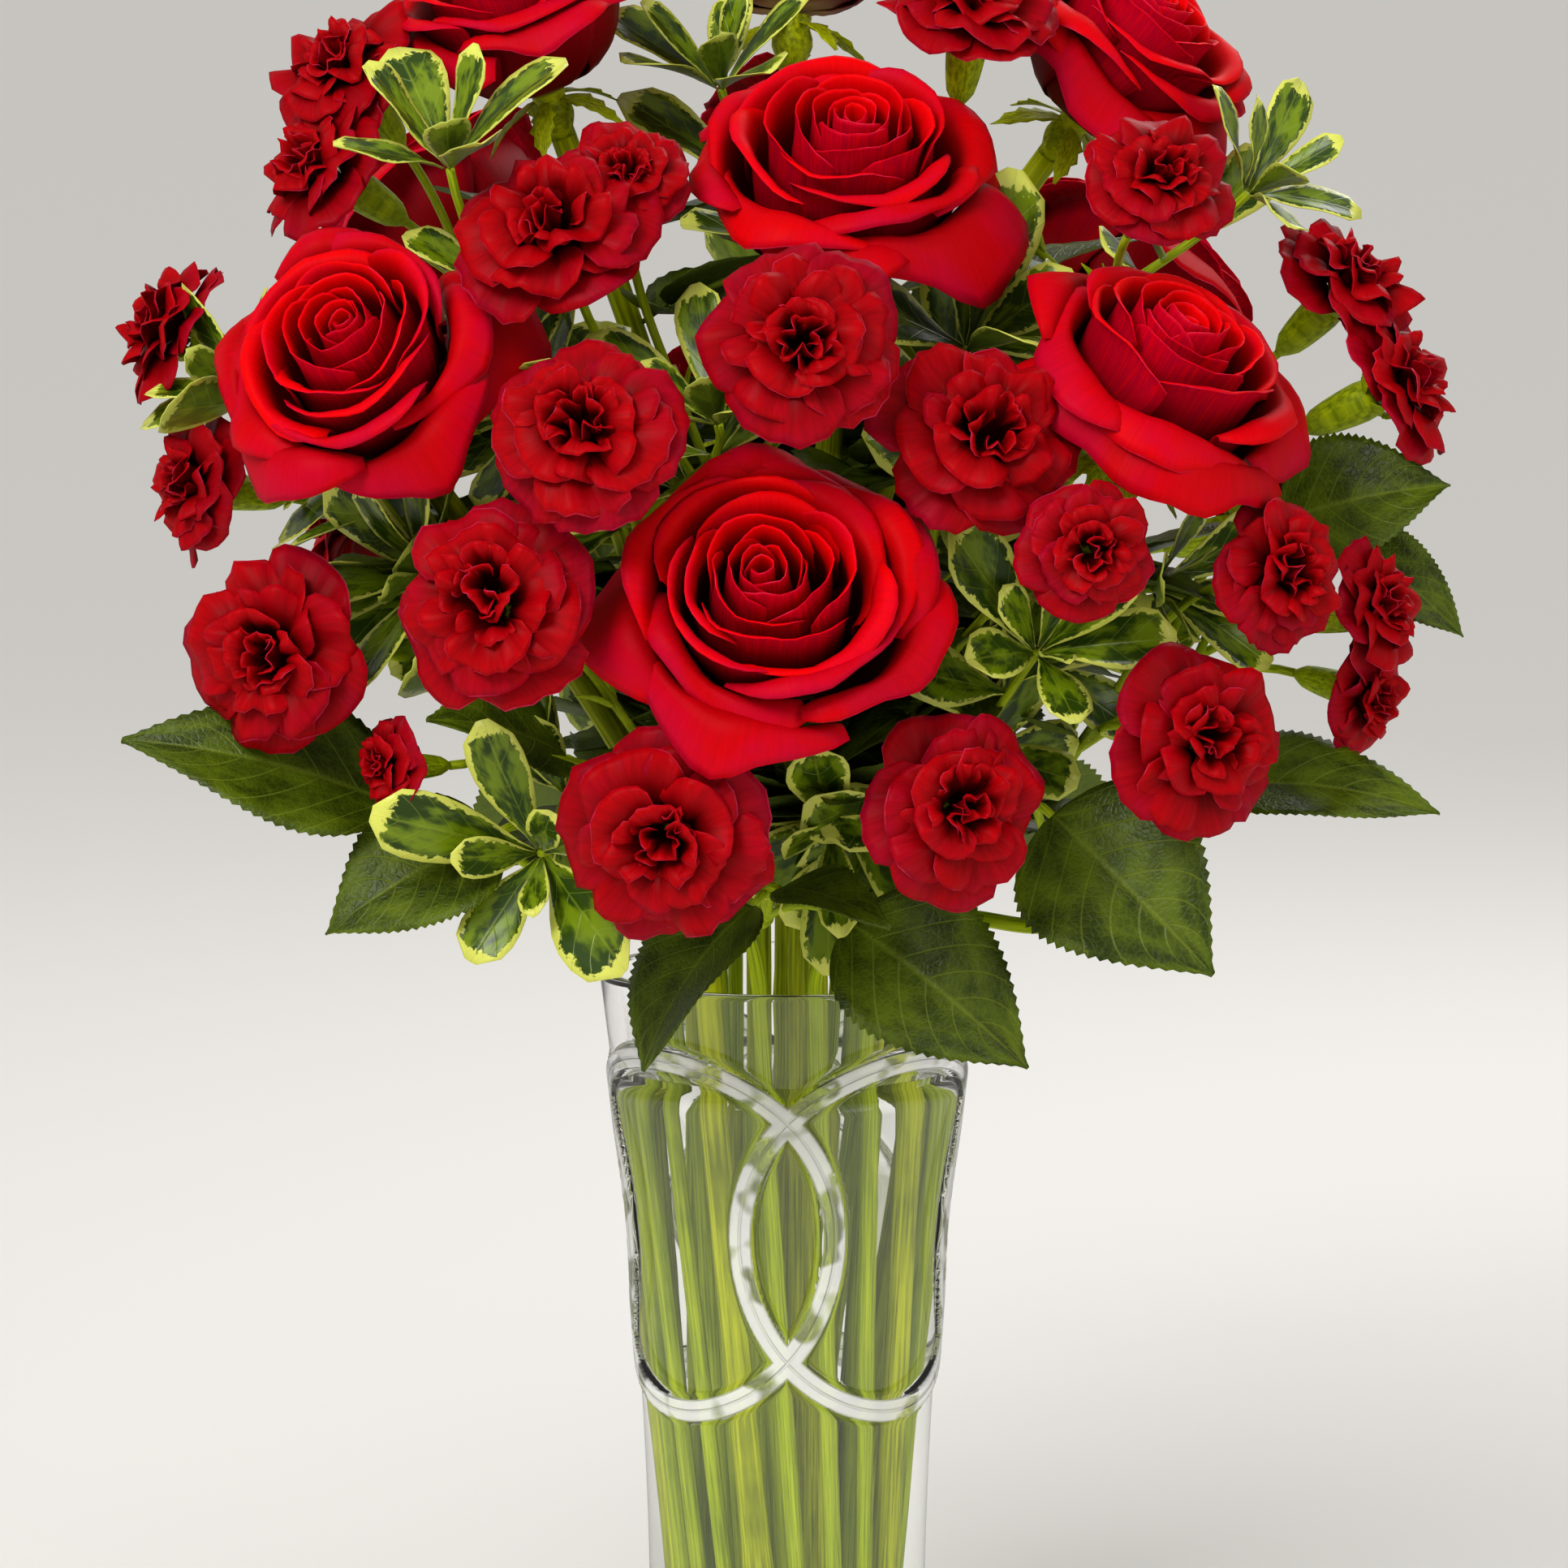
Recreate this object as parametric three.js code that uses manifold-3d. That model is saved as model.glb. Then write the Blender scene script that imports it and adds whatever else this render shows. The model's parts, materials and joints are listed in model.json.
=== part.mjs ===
// A bouquet of red roses and spray carnations with variegated and broad-leaved greenery,
// standing in water in a flared glass vase. Millimetres, +Z up, origin at the middle of the foot.
// The bouquet's front looks along -Y and its right-hand side lies along +X.
import * as THREE from "three";
import { mergeVertices } from "three/addons/utils/BufferGeometryUtils.js";
import Module from "manifold-3d";

const wasm = await Module();
wasm.setup();

// ---- driving dimensions ----
const vaseHeight = 190;
const footRadius = 34.3;
const rimFlare = 12.2;
const flareStart = 25;
const flarePower = 1.79;
const wallThickness = 4.5;
const floorThickness = 14;
const ovalCentreHeight = 128.5;
const ovalHalfHeight = 44;
const ovalHalfAngle = 61.5;
const bandWidth = 6.6;
const bandHeight = 1.3;
const waterLevel = 165;
const clearance = 0.35;

const neckHeight = 188; // where the stems leave the straight run in the vase
const bundleSqueeze = 0.56; // the bundle's width at the foot over its width at the neck
const bundleTwist = 24; // degrees that the bundle turns between neck and foot
const roseStemRadius = 3.2;
const sprayStemRadius = 1.9;
const branchRadius = 1.1;
const roseFaceHeight = 30; // from the base of a rose to the middle of its face
const roseFullWidth = 76;
const carnationFaceHeight = 10;
const carnationFullWidth = 46;
const calyxLength = 20;
const petalThickness = 0.9;
const leafThickness = 0.8;
const toothPairs = 4; // teeth on each side of a broad leaf
const smallestStep = 0.1; // detail below this is smoothed away

// ---- materials ----
function material(color, roughness, opacity = 1) {
  const transparent = opacity < 1;
  return new THREE.MeshStandardMaterial({ color, roughness, metalness: 0, transparent, opacity });
}

const glass = material(0xf2f7f8, 0.05, 0.35);
const clearWater = material(0xe8f3f2, 0.05, 0.3);
const rosePetal = material(0xc8060c, 0.55);
const carnationPetal = material(0xa30510, 0.65);
const stemGreen = material(0x6f8a17, 0.5);
const greyGreen = material(0x6b8240, 0.6);
const variegated = material(0x8fa238, 0.45);
const darkLeaf = material(0x33501d, 0.45);

// ---- the bouquet's plan ----
// at is the middle of a flower's face, and facing is [degrees round from the front, degrees above level].
// slot is where a stem crosses the neck: [distance from the middle, degrees round from the front].
const roses = [
  { name: "front", at: [-3, -127, 296], facing: [0, 33], width: 77, slot: [18, 22], spin: 10 },
  { name: "centre", at: [13, -66, 392], facing: [3, 56], width: 76, slot: [7, 30], spin: 40 },
  { name: "left", at: [-102, -92, 348], facing: [-21, 36], width: 70, slot: [32, -36], spin: 75 },
  { name: "right", at: [90, -88, 346], facing: [40, 50], width: 73, slot: [32, 60], spin: 20 },
  { name: "upper_left", at: [-66, -22, 430], facing: [-50, 66], width: 66, slot: [18, -157], spin: 55 },
  { name: "upper_right", at: [86, -10, 420], facing: [62, 50], width: 68, slot: [18, 157], spin: 5 },
  { name: "top", at: [2, 46, 452], facing: [175, 76], width: 74, slot: [7, 180], spin: 30 },
  { name: "back_left", at: [-92, 84, 372], facing: [-135, 40], width: 74, slot: [32, -132], spin: 65 },
  { name: "back_right", at: [90, 90, 356], facing: [135, 38], width: 76, slot: [32, 132], spin: 15 },
];

// Each spray forks at a joint into short branches, one for each head.
// Heads that share a bloom name grow into each other.
const sprays = [
  { name: "upper_left", slot: [32, -108], joint: [-67, -13.5, 329], heads: [
    { bloom: "upper_left_pair", at: [-107, -30.5, 412.5], facing: [-45, 45], width: 40 },
    { bloom: "upper_left_pair", at: [-112, -43, 390], facing: [-60, 32], width: 40 },
    { bloom: "far_left", at: [-149.5, -34, 351], facing: [-80, 28], width: 38 }] },
  { name: "lower_left", slot: [32, -84], joint: [-63, -31, 260.5], heads: [
    { bloom: "left_side", at: [-142.5, -43, 312.5], facing: [-62, 8], width: 36 },
    { bloom: "left_front", at: [-120.5, -91, 278.5], facing: [-28, 6], width: 46 },
    { bloom: "left_bud", at: [-93.5, -92.5, 251], facing: [-58, 2], width: 23 }] },
  { name: "front_left", slot: [32, -12], joint: [-25.5, -74.5, 241.5], heads: [
    { bloom: "over_front_left", at: [-46, -138, 333], facing: [-15, 25], width: 45 },
    { bloom: "beside_front_left", at: [-67, -133, 293], facing: [-18, 12], width: 47 },
    { bloom: "under_front_left", at: [-28, -132, 239], facing: [-12, -8], width: 49 }] },
  { name: "upper_front", slot: [18, -22], joint: [-12.5, -41.5, 296.5], heads: [
    { bloom: "upper_pair", at: [-54, -95.5, 378], facing: [-16, 42], width: 46 },
    { bloom: "upper_pair", at: [-37, -84, 389], facing: [0, 42], width: 30 },
    { bloom: "middle", at: [4, -134, 353], facing: [3, 18], width: 44 }] },
  { name: "front_right", slot: [32, 36], joint: [31, -52, 261.5], heads: [
    { bloom: "beside_front_right", at: [44.5, -114.5, 330.5], facing: [14, 24], width: 47 },
    { bloom: "under_front_right", at: [39, -124, 245], facing: [20, 2], width: 42 },
    { bloom: "small_right", at: [68, -130, 305], facing: [12, 8], width: 31 }] },
  { name: "lower_right", slot: [32, 84], joint: [69.5, -32, 248.5], heads: [
    { bloom: "right_front", at: [96.5, -106.5, 258.5], facing: [27, 0], width: 43 },
    { bloom: "right_middle", at: [115.5, -97, 296.5], facing: [32, 10], width: 35 },
    { bloom: "far_right_pair", at: [141, -62.5, 285], facing: [62, 10], width: 33 },
    { bloom: "far_right_pair", at: [139, -57, 263.5], facing: [56, -12], width: 30 }] },
  { name: "upper_right", slot: [18, 112], joint: [81.5, -10, 338.5], heads: [
    { bloom: "right_side_pair", at: [148, -41, 338], facing: [72, 26], width: 41 },
    { bloom: "right_side_pair", at: [135.5, -38, 362], facing: [58, 42], width: 39 },
    { bloom: "upper_right", at: [86, -84, 388], facing: [18, 36], width: 35 },
    { bloom: "upper_middle", at: [44, -44, 428], facing: [14, 62], width: 40 }] },
  { name: "back", slot: [32, 156], joint: [3.5, 62, 278.5], heads: [
    { bloom: "back_middle", at: [0, 122, 395], facing: [180, 35], width: 46 },
    { bloom: "back_lower_pair", at: [-20, 126, 314], facing: [-174, 10], width: 46 },
    { bloom: "back_lower_pair", at: [14, 126, 299], facing: [176, 6], width: 46 },
    { bloom: "back_side_left", at: [-112, 62, 300], facing: [-112, 10], width: 44 },
    { bloom: "back_side_right", at: [122, 48, 296], facing: [108, 10], width: 44 }] },
];

// Variegated sprigs: each tip carries a whorl of leaves round its direction.
const sprigs = [
  { name: "upper_left", slot: [7, -90], joint: [-36.5, -58, 299], tips: [
    { at: [-16, -88.5, 330.5], facing: [-25.5, 54], leaves: 5, length: 36 },
    { at: [-79, -62, 388.5], facing: [-18, 62.5], leaves: 4, length: 34 },
    { at: [-58.5, -35, 331.5], facing: [-43, 17], leaves: 5, length: 38 }] },
  { name: "upper_right", slot: [18, 67], joint: [38, -28, 313], tips: [
    { at: [-16, -3.5, 406], facing: [-24.5, 64.5], leaves: 5, length: 36 },
    { at: [42.5, -48, 345.5], facing: [23, 34], leaves: 4, length: 44 },
    { at: [110.5, -24.5, 381.5], facing: [53, 41.5], leaves: 4, length: 28 }] },
  { name: "front_right", slot: [32, 12], joint: [29, -46.5, 226], tips: [
    { at: [58, -85.5, 277], facing: [17, 28.5], leaves: 5, length: 34 },
    { at: [10, -59, 234.5], facing: [2.5, -21], leaves: 4, length: 32 },
    { at: [86.5, -58, 289.5], facing: [51, 0], leaves: 5, length: 34 }] },
  { name: "left", slot: [18, -67], joint: [-49, -45.5, 237], tips: [
    { at: [-57.5, -85.5, 230], facing: [-16, -0.5], leaves: 5, length: 34 },
    { at: [-125, -50.5, 334], facing: [-83.5, 31], leaves: 3, length: 34 },
    { at: [-83.5, -59.5, 292.5], facing: [-48.5, 10.5], leaves: 5, length: 36 }] },
  { name: "back", slot: [32, -156], joint: [-20, 56, 262], tips: [
    { at: [-58, 92, 262], facing: [-150, 0], leaves: 5, length: 36 },
    { at: [4, 104, 340], facing: [180, 30], leaves: 5, length: 36 },
    { at: [71.5, 77.5, 259.5], facing: [123.5, 0.5], leaves: 5, length: 36 }] },
];

// Broad serrated leaves: from a stalk's end to the leaf's tip, with a roll about that line.
const branches = [
  { name: "left", slot: [32, -60], joint: [-52, -48, 214], leaves: [
    { from: [-92, -76, 240], tip: [-156, -80, 256], width: 34, roll: 50 },
    { from: [-68, -80, 234], tip: [-108, -88, 211], width: 34, roll: 50 },
    { from: [-52, -66, 250], tip: [-84, -92, 262], width: 30, roll: 40 }] },
  { name: "front", slot: [18, -112], joint: [-5, -52.5, 210], leaves: [
    { from: [-8, -74, 216], tip: [-34, -90, 179], width: 40, roll: 0 },
    { from: [14, -75.5, 212.5], tip: [56.5, -86, 179], width: 38, roll: -60 },
    { from: [-2, -74, 220], tip: [24, -98, 214], width: 18, roll: -20 }] },
  { name: "right", slot: [32, 108], joint: [65.5, -44.5, 207.5], leaves: [
    { from: [62, -78, 238], tip: [99, -98, 203], width: 44, roll: -60 },
    { from: [100, -62, 243], tip: [154, -70, 237], width: 28, roll: -35 },
    { from: [118, -40, 304], tip: [158, -46, 313], width: 32, roll: -60 },
    { from: [134.5, -34, 299.5], tip: [162, -40, 276], width: 18, roll: -60 }] },
  { name: "back", slot: [32, 180], joint: [0, 54, 214], leaves: [
    { from: [-46, 66, 222], tip: [-86, 96, 200], width: 38, roll: -40 },
    { from: [0, 72, 220], tip: [6, 104, 180], width: 40, roll: 0 },
    { from: [48, 64, 224], tip: [92, 88, 200], width: 38, roll: 40 }] },
];

// ---- small helpers ----
const degrees = Math.PI / 180;
const vector = (list) => new THREE.Vector3(...list);

function directionOf([round, above]) {
  const level = Math.cos(above * degrees);
  return new THREE.Vector3(
    Math.sin(round * degrees) * level,
    -Math.cos(round * degrees) * level,
    Math.sin(above * degrees),
  );
}

// Turns local +Z to the facing direction, spins about it and moves the origin to a point.
function placement(origin, facing, spin = 0) {
  const turn = new THREE.Quaternion().setFromUnitVectors(new THREE.Vector3(0, 0, 1), facing);
  turn.multiply(new THREE.Quaternion().setFromAxisAngle(new THREE.Vector3(0, 0, 1), spin * degrees));
  return new THREE.Matrix4().compose(origin, turn, new THREE.Vector3(1, 1, 1));
}

// A small seeded random source, so that every build gives the same bouquet.
function randomFrom(seed) {
  let state = seed;
  return () => {
    state = (state * 1664525 + 1013904223) % 4294967296;
    return state / 4294967296;
  };
}

// ---- solids ----
function solidOf(geometry) {
  const bare = geometry.index ? geometry.toNonIndexed() : geometry.clone();
  bare.deleteAttribute("normal");
  bare.deleteAttribute("uv");
  const merged = mergeVertices(bare, 1e-4);
  const corners = merged.index.array;
  const kept = [];
  for (let i = 0; i < corners.length; i += 3) {
    const [a, b, c] = [corners[i], corners[i + 1], corners[i + 2]];
    if (a !== b && b !== c && a !== c) kept.push(a, b, c);
  }
  const vertProperties = merged.attributes.position.array;
  const closed = (list) => {
    const triVerts = new Uint32Array(list);
    return new wasm.Manifold(new wasm.Mesh({ numProp: 3, vertProperties, triVerts }));
  };
  const made = closed(kept);
  return made.volume() > 0 ? made : closed(kept.reverse());
}

function fuse(solids) {
  return solids.reduce((whole, next) => whole.add(next));
}

// The largest body of a solid: loose scraps are dropped.
function mainBody(solid) {
  return solid.decompose().reduce((best, body) => (body.volume() > best.volume() ? body : best));
}

function geometryOf(solid) {
  const mesh = solid.getMesh();
  const geometry = new THREE.BufferGeometry();
  geometry.setAttribute("position", new THREE.BufferAttribute(new Float32Array(mesh.vertProperties), 3));
  geometry.setIndex(new THREE.BufferAttribute(new Uint32Array(mesh.triVerts), 1));
  geometry.computeVertexNormals();
  return geometry;
}

// Triangles that join two rings of points, whatever their counts, once round.
function bandTriangles(first, second) {
  const triangles = [];
  let a = 0;
  let b = 0;
  while (a < first.length || b < second.length) {
    const here = first[a % first.length];
    const there = second[b % second.length];
    if (b >= second.length || (a < first.length && (a + 1) / first.length <= (b + 1) / second.length)) {
      a += 1;
      triangles.push([here, there, first[a % first.length]]);
    } else {
      b += 1;
      triangles.push([here, there, second[b % second.length]]);
    }
  }
  return triangles;
}

// A ring's points from the start at which they lie nearest their partners in the ring before.
function aligned(before, after) {
  const misfit = after.map((_, start) => {
    const partner = (i) => after[(start + Math.round((i * after.length) / before.length)) % after.length];
    return before.reduce((sum, point, i) => sum + point.distanceToSquared(partner(i)), 0);
  });
  const start = misfit.indexOf(Math.min(...misfit));
  return [...after.slice(start), ...after.slice(0, start)];
}

// A closed skin over rings of points; the first and last rings are single points.
function skin(rings) {
  const corners = [];
  let before = rings[0];
  for (const next of rings.slice(1)) {
    const after = aligned(before, next);
    for (const triangle of bandTriangles(before, after)) {
      if (new Set(triangle).size === 3) corners.push(...triangle);
    }
    before = after;
  }
  return solidOf(new THREE.BufferGeometry().setFromPoints(corners));
}

// The rings of a round bar through points with a radius at each; they turn with the path and never twist.
function barRings(points, radii, sides) {
  const tangents = points.map((point, i) => {
    const before = points[Math.max(0, i - 1)];
    const after = points[Math.min(points.length - 1, i + 1)];
    return after.clone().sub(before).normalize();
  });
  let side = new THREE.Vector3(1, 0, 0);
  const rings = [[points[0]]];
  points.forEach((point, i) => {
    side = side.addScaledVector(tangents[i], -side.dot(tangents[i])).normalize();
    const other = tangents[i].clone().cross(side);
    const around = [];
    for (let j = 0; j < sides; j += 1) {
      const angle = (j / sides) * 2 * Math.PI;
      const across = side.clone().multiplyScalar(Math.cos(angle)).addScaledVector(other, Math.sin(angle));
      around.push(point.clone().addScaledVector(across, radii[i]));
    }
    rings.push(around);
  });
  return rings;
}

function tube(points, radii, sides) {
  return skin([...barRings(points, radii, sides), [points[points.length - 1]]]);
}

// Points of a smooth bend that leaves start along one direction and reaches end along another.
function bend(start, startDirection, end, endDirection, steps) {
  const reach = start.distanceTo(end) * 0.36;
  const curve = new THREE.CubicBezierCurve3(
    start,
    start.clone().addScaledVector(startDirection, reach),
    end.clone().addScaledVector(endDirection, -reach),
    end,
  );
  return curve.getPoints(steps);
}

// ---- the vase ----
function outerRadius(height) {
  const share = Math.max(0, (height - flareStart) / (vaseHeight - flareStart));
  return footRadius + rimFlare * share ** flarePower;
}

const innerRadius = (height) => outerRadius(height) - wallThickness;

// A raised oval band of triangular section that follows the glass; four of them interlace round the vase.
function ovalBand(centreAngle) {
  const steps = 20;
  const rows = [];
  for (let i = 0; i < steps; i += 1) {
    const turn = (i / steps) * 2 * Math.PI;
    const round = (centreAngle + ovalHalfAngle * Math.cos(turn)) * degrees;
    const level = ovalCentreHeight + ovalHalfHeight * Math.sin(turn);
    const girth = outerRadius(level);
    const along = [-ovalHalfAngle * Math.sin(turn) * degrees * girth, ovalHalfHeight * Math.cos(turn)];
    const size = Math.hypot(...along);
    const sideways = [along[1] / size, -along[0] / size];
    const corner = (offset, height) => {
      const z = level + sideways[1] * offset;
      const angle = round + (sideways[0] * offset) / girth;
      const radius = outerRadius(z) + height;
      return new THREE.Vector3(radius * Math.sin(angle), -radius * Math.cos(angle), z);
    };
    rows.push([
      corner(-bandWidth / 2, -1), corner(0, bandHeight), corner(bandWidth / 2, -1), corner(0, -2.8),
    ]);
  }
  const positions = [];
  rows.forEach((row, i) => {
    const next = rows[(i + 1) % steps];
    row.forEach((point, j) => {
      const k = (j + 1) % row.length;
      positions.push(point, next[j], next[k], point, next[k], row[k]);
    });
  });
  return solidOf(new THREE.BufferGeometry().setFromPoints(positions));
}

function vaseSolid() {
  const profile = [
    [0, 0],
    [footRadius - 2.5, 0],
    [footRadius, 2.5],
    ...[25, 100, 165, 187].map((height) => [outerRadius(height), height]),
    [outerRadius(vaseHeight) - 1.4, vaseHeight],
    [innerRadius(vaseHeight) + 1, vaseHeight],
    ...[165, 90, floorThickness + 6].map((height) => [innerRadius(height), height]),
    [innerRadius(floorThickness) - 6, floorThickness],
    [0, floorThickness],
  ];
  const walls = new THREE.LatheGeometry(profile.map(([r, z]) => new THREE.Vector2(r, z)), 24);
  walls.rotateX(Math.PI / 2);
  const bands = [45, 135, 225, 315].map(ovalBand);
  return fuse([solidOf(walls), ...bands]);
}

// ---- stems in the vase ----
const footHeight = floorThickness + 0.75;

function neckPoint([radius, round]) {
  const angle = round * degrees;
  return new THREE.Vector3(radius * Math.sin(angle), -radius * Math.cos(angle), neckHeight);
}

function footPoint([radius, round]) {
  const point = neckPoint([radius * bundleSqueeze, round + bundleTwist]);
  return point.setZ(footHeight);
}

// The route of a stem: straight through the vase, then a bend that ends at a point with a given direction.
function stemRoute(slot, end, direction, steps) {
  const foot = footPoint(slot);
  const neck = neckPoint(slot);
  const leaving = neck.clone().sub(foot).normalize();
  return [foot, ...bend(neck, leaving, end, direction, steps)];
}

const even = (points, radius) => points.map(() => radius);

// Everything that stands in the water, as [slot, radius, sides].
const standing = [
  ...roses.map((rose) => [rose.slot, roseStemRadius, 6]),
  ...[...sprays, ...sprigs, ...branches].map((plant) => [plant.slot, sprayStemRadius, 5]),
];

function waterSolid() {
  const heights = [floorThickness + 6, 90, waterLevel];
  const profile = [
    [0, footHeight],
    [innerRadius(floorThickness) - 6 - clearance, footHeight],
    ...heights.map((height) => [innerRadius(height) - clearance * 1.6, height]),
    [0, waterLevel],
  ];
  const body = new THREE.LatheGeometry(profile.map(([r, z]) => new THREE.Vector2(r, z)), 24);
  body.rotateX(Math.PI / 2);
  const holes = standing.map(([slot, radius, sides]) => {
    const foot = footPoint(slot);
    const neck = neckPoint(slot);
    const along = neck.clone().sub(foot);
    const below = foot.clone().addScaledVector(along, -0.05);
    return tube([below, neck], even([below, neck], radius + clearance / Math.cos(Math.PI / sides)), sides);
  });
  return mainBody(solidOf(body).subtract(fuse(holes)));
}

// ---- roses ----
// A level ring of points round the local +Z axis.
function ring(radius, height, count, turn = 0) {
  const points = [];
  for (let i = 0; i < count; i += 1) {
    const angle = (i / count) * 2 * Math.PI + turn * degrees;
    points.push(new THREE.Vector3(radius * Math.cos(angle), radius * Math.sin(angle), height));
  }
  return points;
}

// A ring of overlapping petal edges, three points to a petal.
// One side of each petal lies over its neighbour and the other side lies under the next.
function petalEdges(petals, radius, height, turn, overlap, crown) {
  return ring(radius, height, petals * 3, turn).map((point, i) => {
    const side = 1 - (i % 3);
    const reach = (side ? 0.93 : 1.03) + side * overlap;
    const rise = side ? side * overlap * radius * 0.5 : crown;
    return new THREE.Vector3(point.x * reach, point.y * reach, point.z + rise);
  });
}

// A rose in its own frame: three tiers of overlapping petals round a furled tip.
// The outermost five roll back.
function roseBloom(rose, seed) {
  const random = randomFrom(seed);
  const size = rose.width / roseFullWidth;
  const turn = random() * 72;
  const sag = random() * 3;
  const rings = [
    [new THREE.Vector3(0, 0, 0)],
    ring(5.2, 0.6, 6, turn),
    ring(15.5, 7, 10, turn),
    petalEdges(5, 24.5, 19, turn, 0.05, 0),
    petalEdges(5, 33, 30 - sag, turn, 0.05, 1),
    petalEdges(5, 39, 27 - sag * 1.5, turn, 0.05, -1.5),
    petalEdges(5, 39, 28.2 - sag * 1.5, turn, 0.05, -1.5),
    petalEdges(5, 32, 31.6 - sag, turn, 0.05, 1),
    ring(21, 24, 10, turn),
    petalEdges(4, 25.5, 37.5, turn + 30, 0.07, 1.5),
    petalEdges(4, 24, 38.2, turn + 30, 0.07, 1.5),
    ring(15, 30, 8, turn + 30),
    petalEdges(3, 13.5, 40.5, turn + 70, 0.08, 1),
    petalEdges(3, 12.2, 41, turn + 70, 0.08, 1),
    ring(7, 34, 5, turn + 60),
    [new THREE.Vector3(0.8, 0.4, 42.5)],
  ];
  return skin(rings.map((points) => points.map((point) => point.multiplyScalar(size))));
}

// A rose stem that swells into a hip and spreads into a star of five sepals under the bloom.
function roseStem(rose, base, facing) {
  const size = rose.width / roseFullWidth;
  const route = stemRoute(rose.slot, base.clone().addScaledVector(facing, -14 * size), facing, 4);
  const frame = placement(base, facing, rose.spin);
  const inFrame = (points) => points.map((point) => point.multiplyScalar(size).applyMatrix4(frame));
  const sepals = (lift) => ring(1, 0, 10, 20).map((point, i) => {
    const [reach, height] = i % 2 ? [5.2, -2.2] : [21, -13];
    return new THREE.Vector3(point.x * reach, point.y * reach, height + lift);
  });
  return skin([
    ...barRings(route, even(route, roseStemRadius), 6),
    inFrame(ring(5.4, -8, 6)),
    inFrame(ring(4.4, -3.6, 5, 56)),
    inFrame(sepals(0)),
    inFrame(sepals(leafThickness)),
    [base.clone().addScaledVector(facing, -clearance)],
  ]);
}

// ---- carnations ----
// Three ruffled tiers of petals, one above another, grown from one foot.
// Each tier is a thin frilled flange.
function carnationBloom(head, seed) {
  const random = randomFrom(seed);
  const size = head.width / carnationFullWidth;
  const frill = (radius, height, count, turn, wave) => {
    const points = ring(radius, height, count, turn);
    return points.map((point, i) => {
      const reach = i % 2 ? 0.74 + random() * 0.1 : 0.96 + random() * 0.08;
      const rise = (i % 2 ? 1 : -1) * wave * (0.6 + random() * 0.8);
      return new THREE.Vector3(point.x * reach, point.y * reach, point.z + rise);
    });
  };
  const raised = (points, height) => points.map(({ x, y, z }) => new THREE.Vector3(x, y, z + height));
  const turn = random() * 360;
  const guard = frill(24.6, 5, 10, turn, 1.1);
  const middle = frill(19, 12, 10, turn + 20, 1.5);
  const heart = frill(11, 17.5, 6, turn + 40, 1.2);
  const rings = [
    [new THREE.Vector3(0, 0, 0)],
    ring(3.6, 0, 6, turn),
    guard,
    raised(guard, petalThickness + 0.2),
    ring(5.5, 4.6, 6, turn + 15),
    middle,
    raised(middle, petalThickness + 0.2),
    ring(4, 10, 6, turn + 30),
    heart,
    [new THREE.Vector3(0, 0, 15)],
  ];
  return skin(rings.map((points) => points.map((point) => point.clone().multiplyScalar(size))));
}

// A branch of a spray that swells into the calyx under one head.
function calyxBranch(fork, rising, head) {
  const facing = directionOf(head.facing);
  const size = head.width / carnationFullWidth;
  const cupSize = Math.min(1, size + 0.12);
  const mouth = headFoot(head);
  const cupFoot = mouth.clone().addScaledVector(facing, -calyxLength * cupSize);
  const towards = cupFoot.clone().sub(fork).normalize().lerp(rising, 0.4).normalize();
  const route = bend(fork, towards, cupFoot, facing, 2);
  const radii = even(route, branchRadius);
  for (const [below, radius] of [[calyxLength * 0.8, 3.6], [4, 5], [clearance, 4.4]]) {
    route.push(mouth.clone().addScaledVector(facing, -below * cupSize));
    radii.push(radius * cupSize);
  }
  return tube(route, radii, 5);
}

// ---- leaves ----
// The rings of a toothed blade from a point to a tip, six points to a ring.
// The blade is folded along its rib and bowed along its length.
function bladeRings({ from, tip, width, roll }) {
  const along = tip.clone().sub(from);
  const length = along.length();
  const direction = along.normalize();
  const level = new THREE.Vector3(-direction.y, direction.x, 0).normalize();
  level.applyAxisAngle(direction, -roll * degrees);
  const up = direction.clone().cross(level);
  if (up.z < 0) {
    up.negate();
    level.negate();
  }
  const rings = [];
  for (let row = 0; row <= toothPairs * 2; row += 1) {
    const share = row / (toothPairs * 2);
    const outline = (share ** 0.6 * (1 - share) ** 1.15) / 0.304;
    const tooth = row % 2 ? 1.08 : 0.94;
    const half = Math.max((width / 2) * outline * tooth, 0.8);
    const middle = from.clone().addScaledVector(direction, share * length);
    middle.addScaledVector(up, 0.3 * length * share * (1 - share));
    const corner = (side, rise) => middle.clone().addScaledVector(level, side).addScaledVector(up, rise);
    const fold = half * 0.22;
    const thick = leafThickness / 2;
    rings.push([
      corner(half, fold + thick), corner(0, thick), corner(-half, fold + thick),
      corner(-half, fold - thick), corner(0, -thick), corner(half, fold - thick),
    ]);
  }
  return rings;
}

// A whorl of blunt leaves that spreads from the tip of a twig.
// Both of its faces run through the same outline.
function whorlOutline({ at, facing, leaves, length }, seed, lift) {
  const random = randomFrom(seed);
  const frame = placement(vector(at), directionOf(facing));
  const points = [];
  const add = (round, reach, height) => {
    const angle = round * degrees;
    const point = new THREE.Vector3(reach * Math.cos(angle), reach * Math.sin(angle), height + lift);
    points.push(point.applyMatrix4(frame));
  };
  for (let i = 0; i < leaves; i += 1) {
    const step = 360 / leaves;
    const round = i * step + random() * step * 0.25;
    const size = length * (0.8 + random() * 0.3);
    const steep = 0.45 + random() * 0.35;
    const spread = Math.min(24, step * 0.36);
    add(round - step * 0.5, 1.8, 0.6);
    add(round - spread, size * 0.6, size * 0.6 * steep + 1);
    add(round - spread * 0.3, size, size * steep);
    add(round + spread * 0.3, size, size * steep);
    add(round + spread, size * 0.6, size * 0.6 * steep + 1);
  }
  return points;
}

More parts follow.
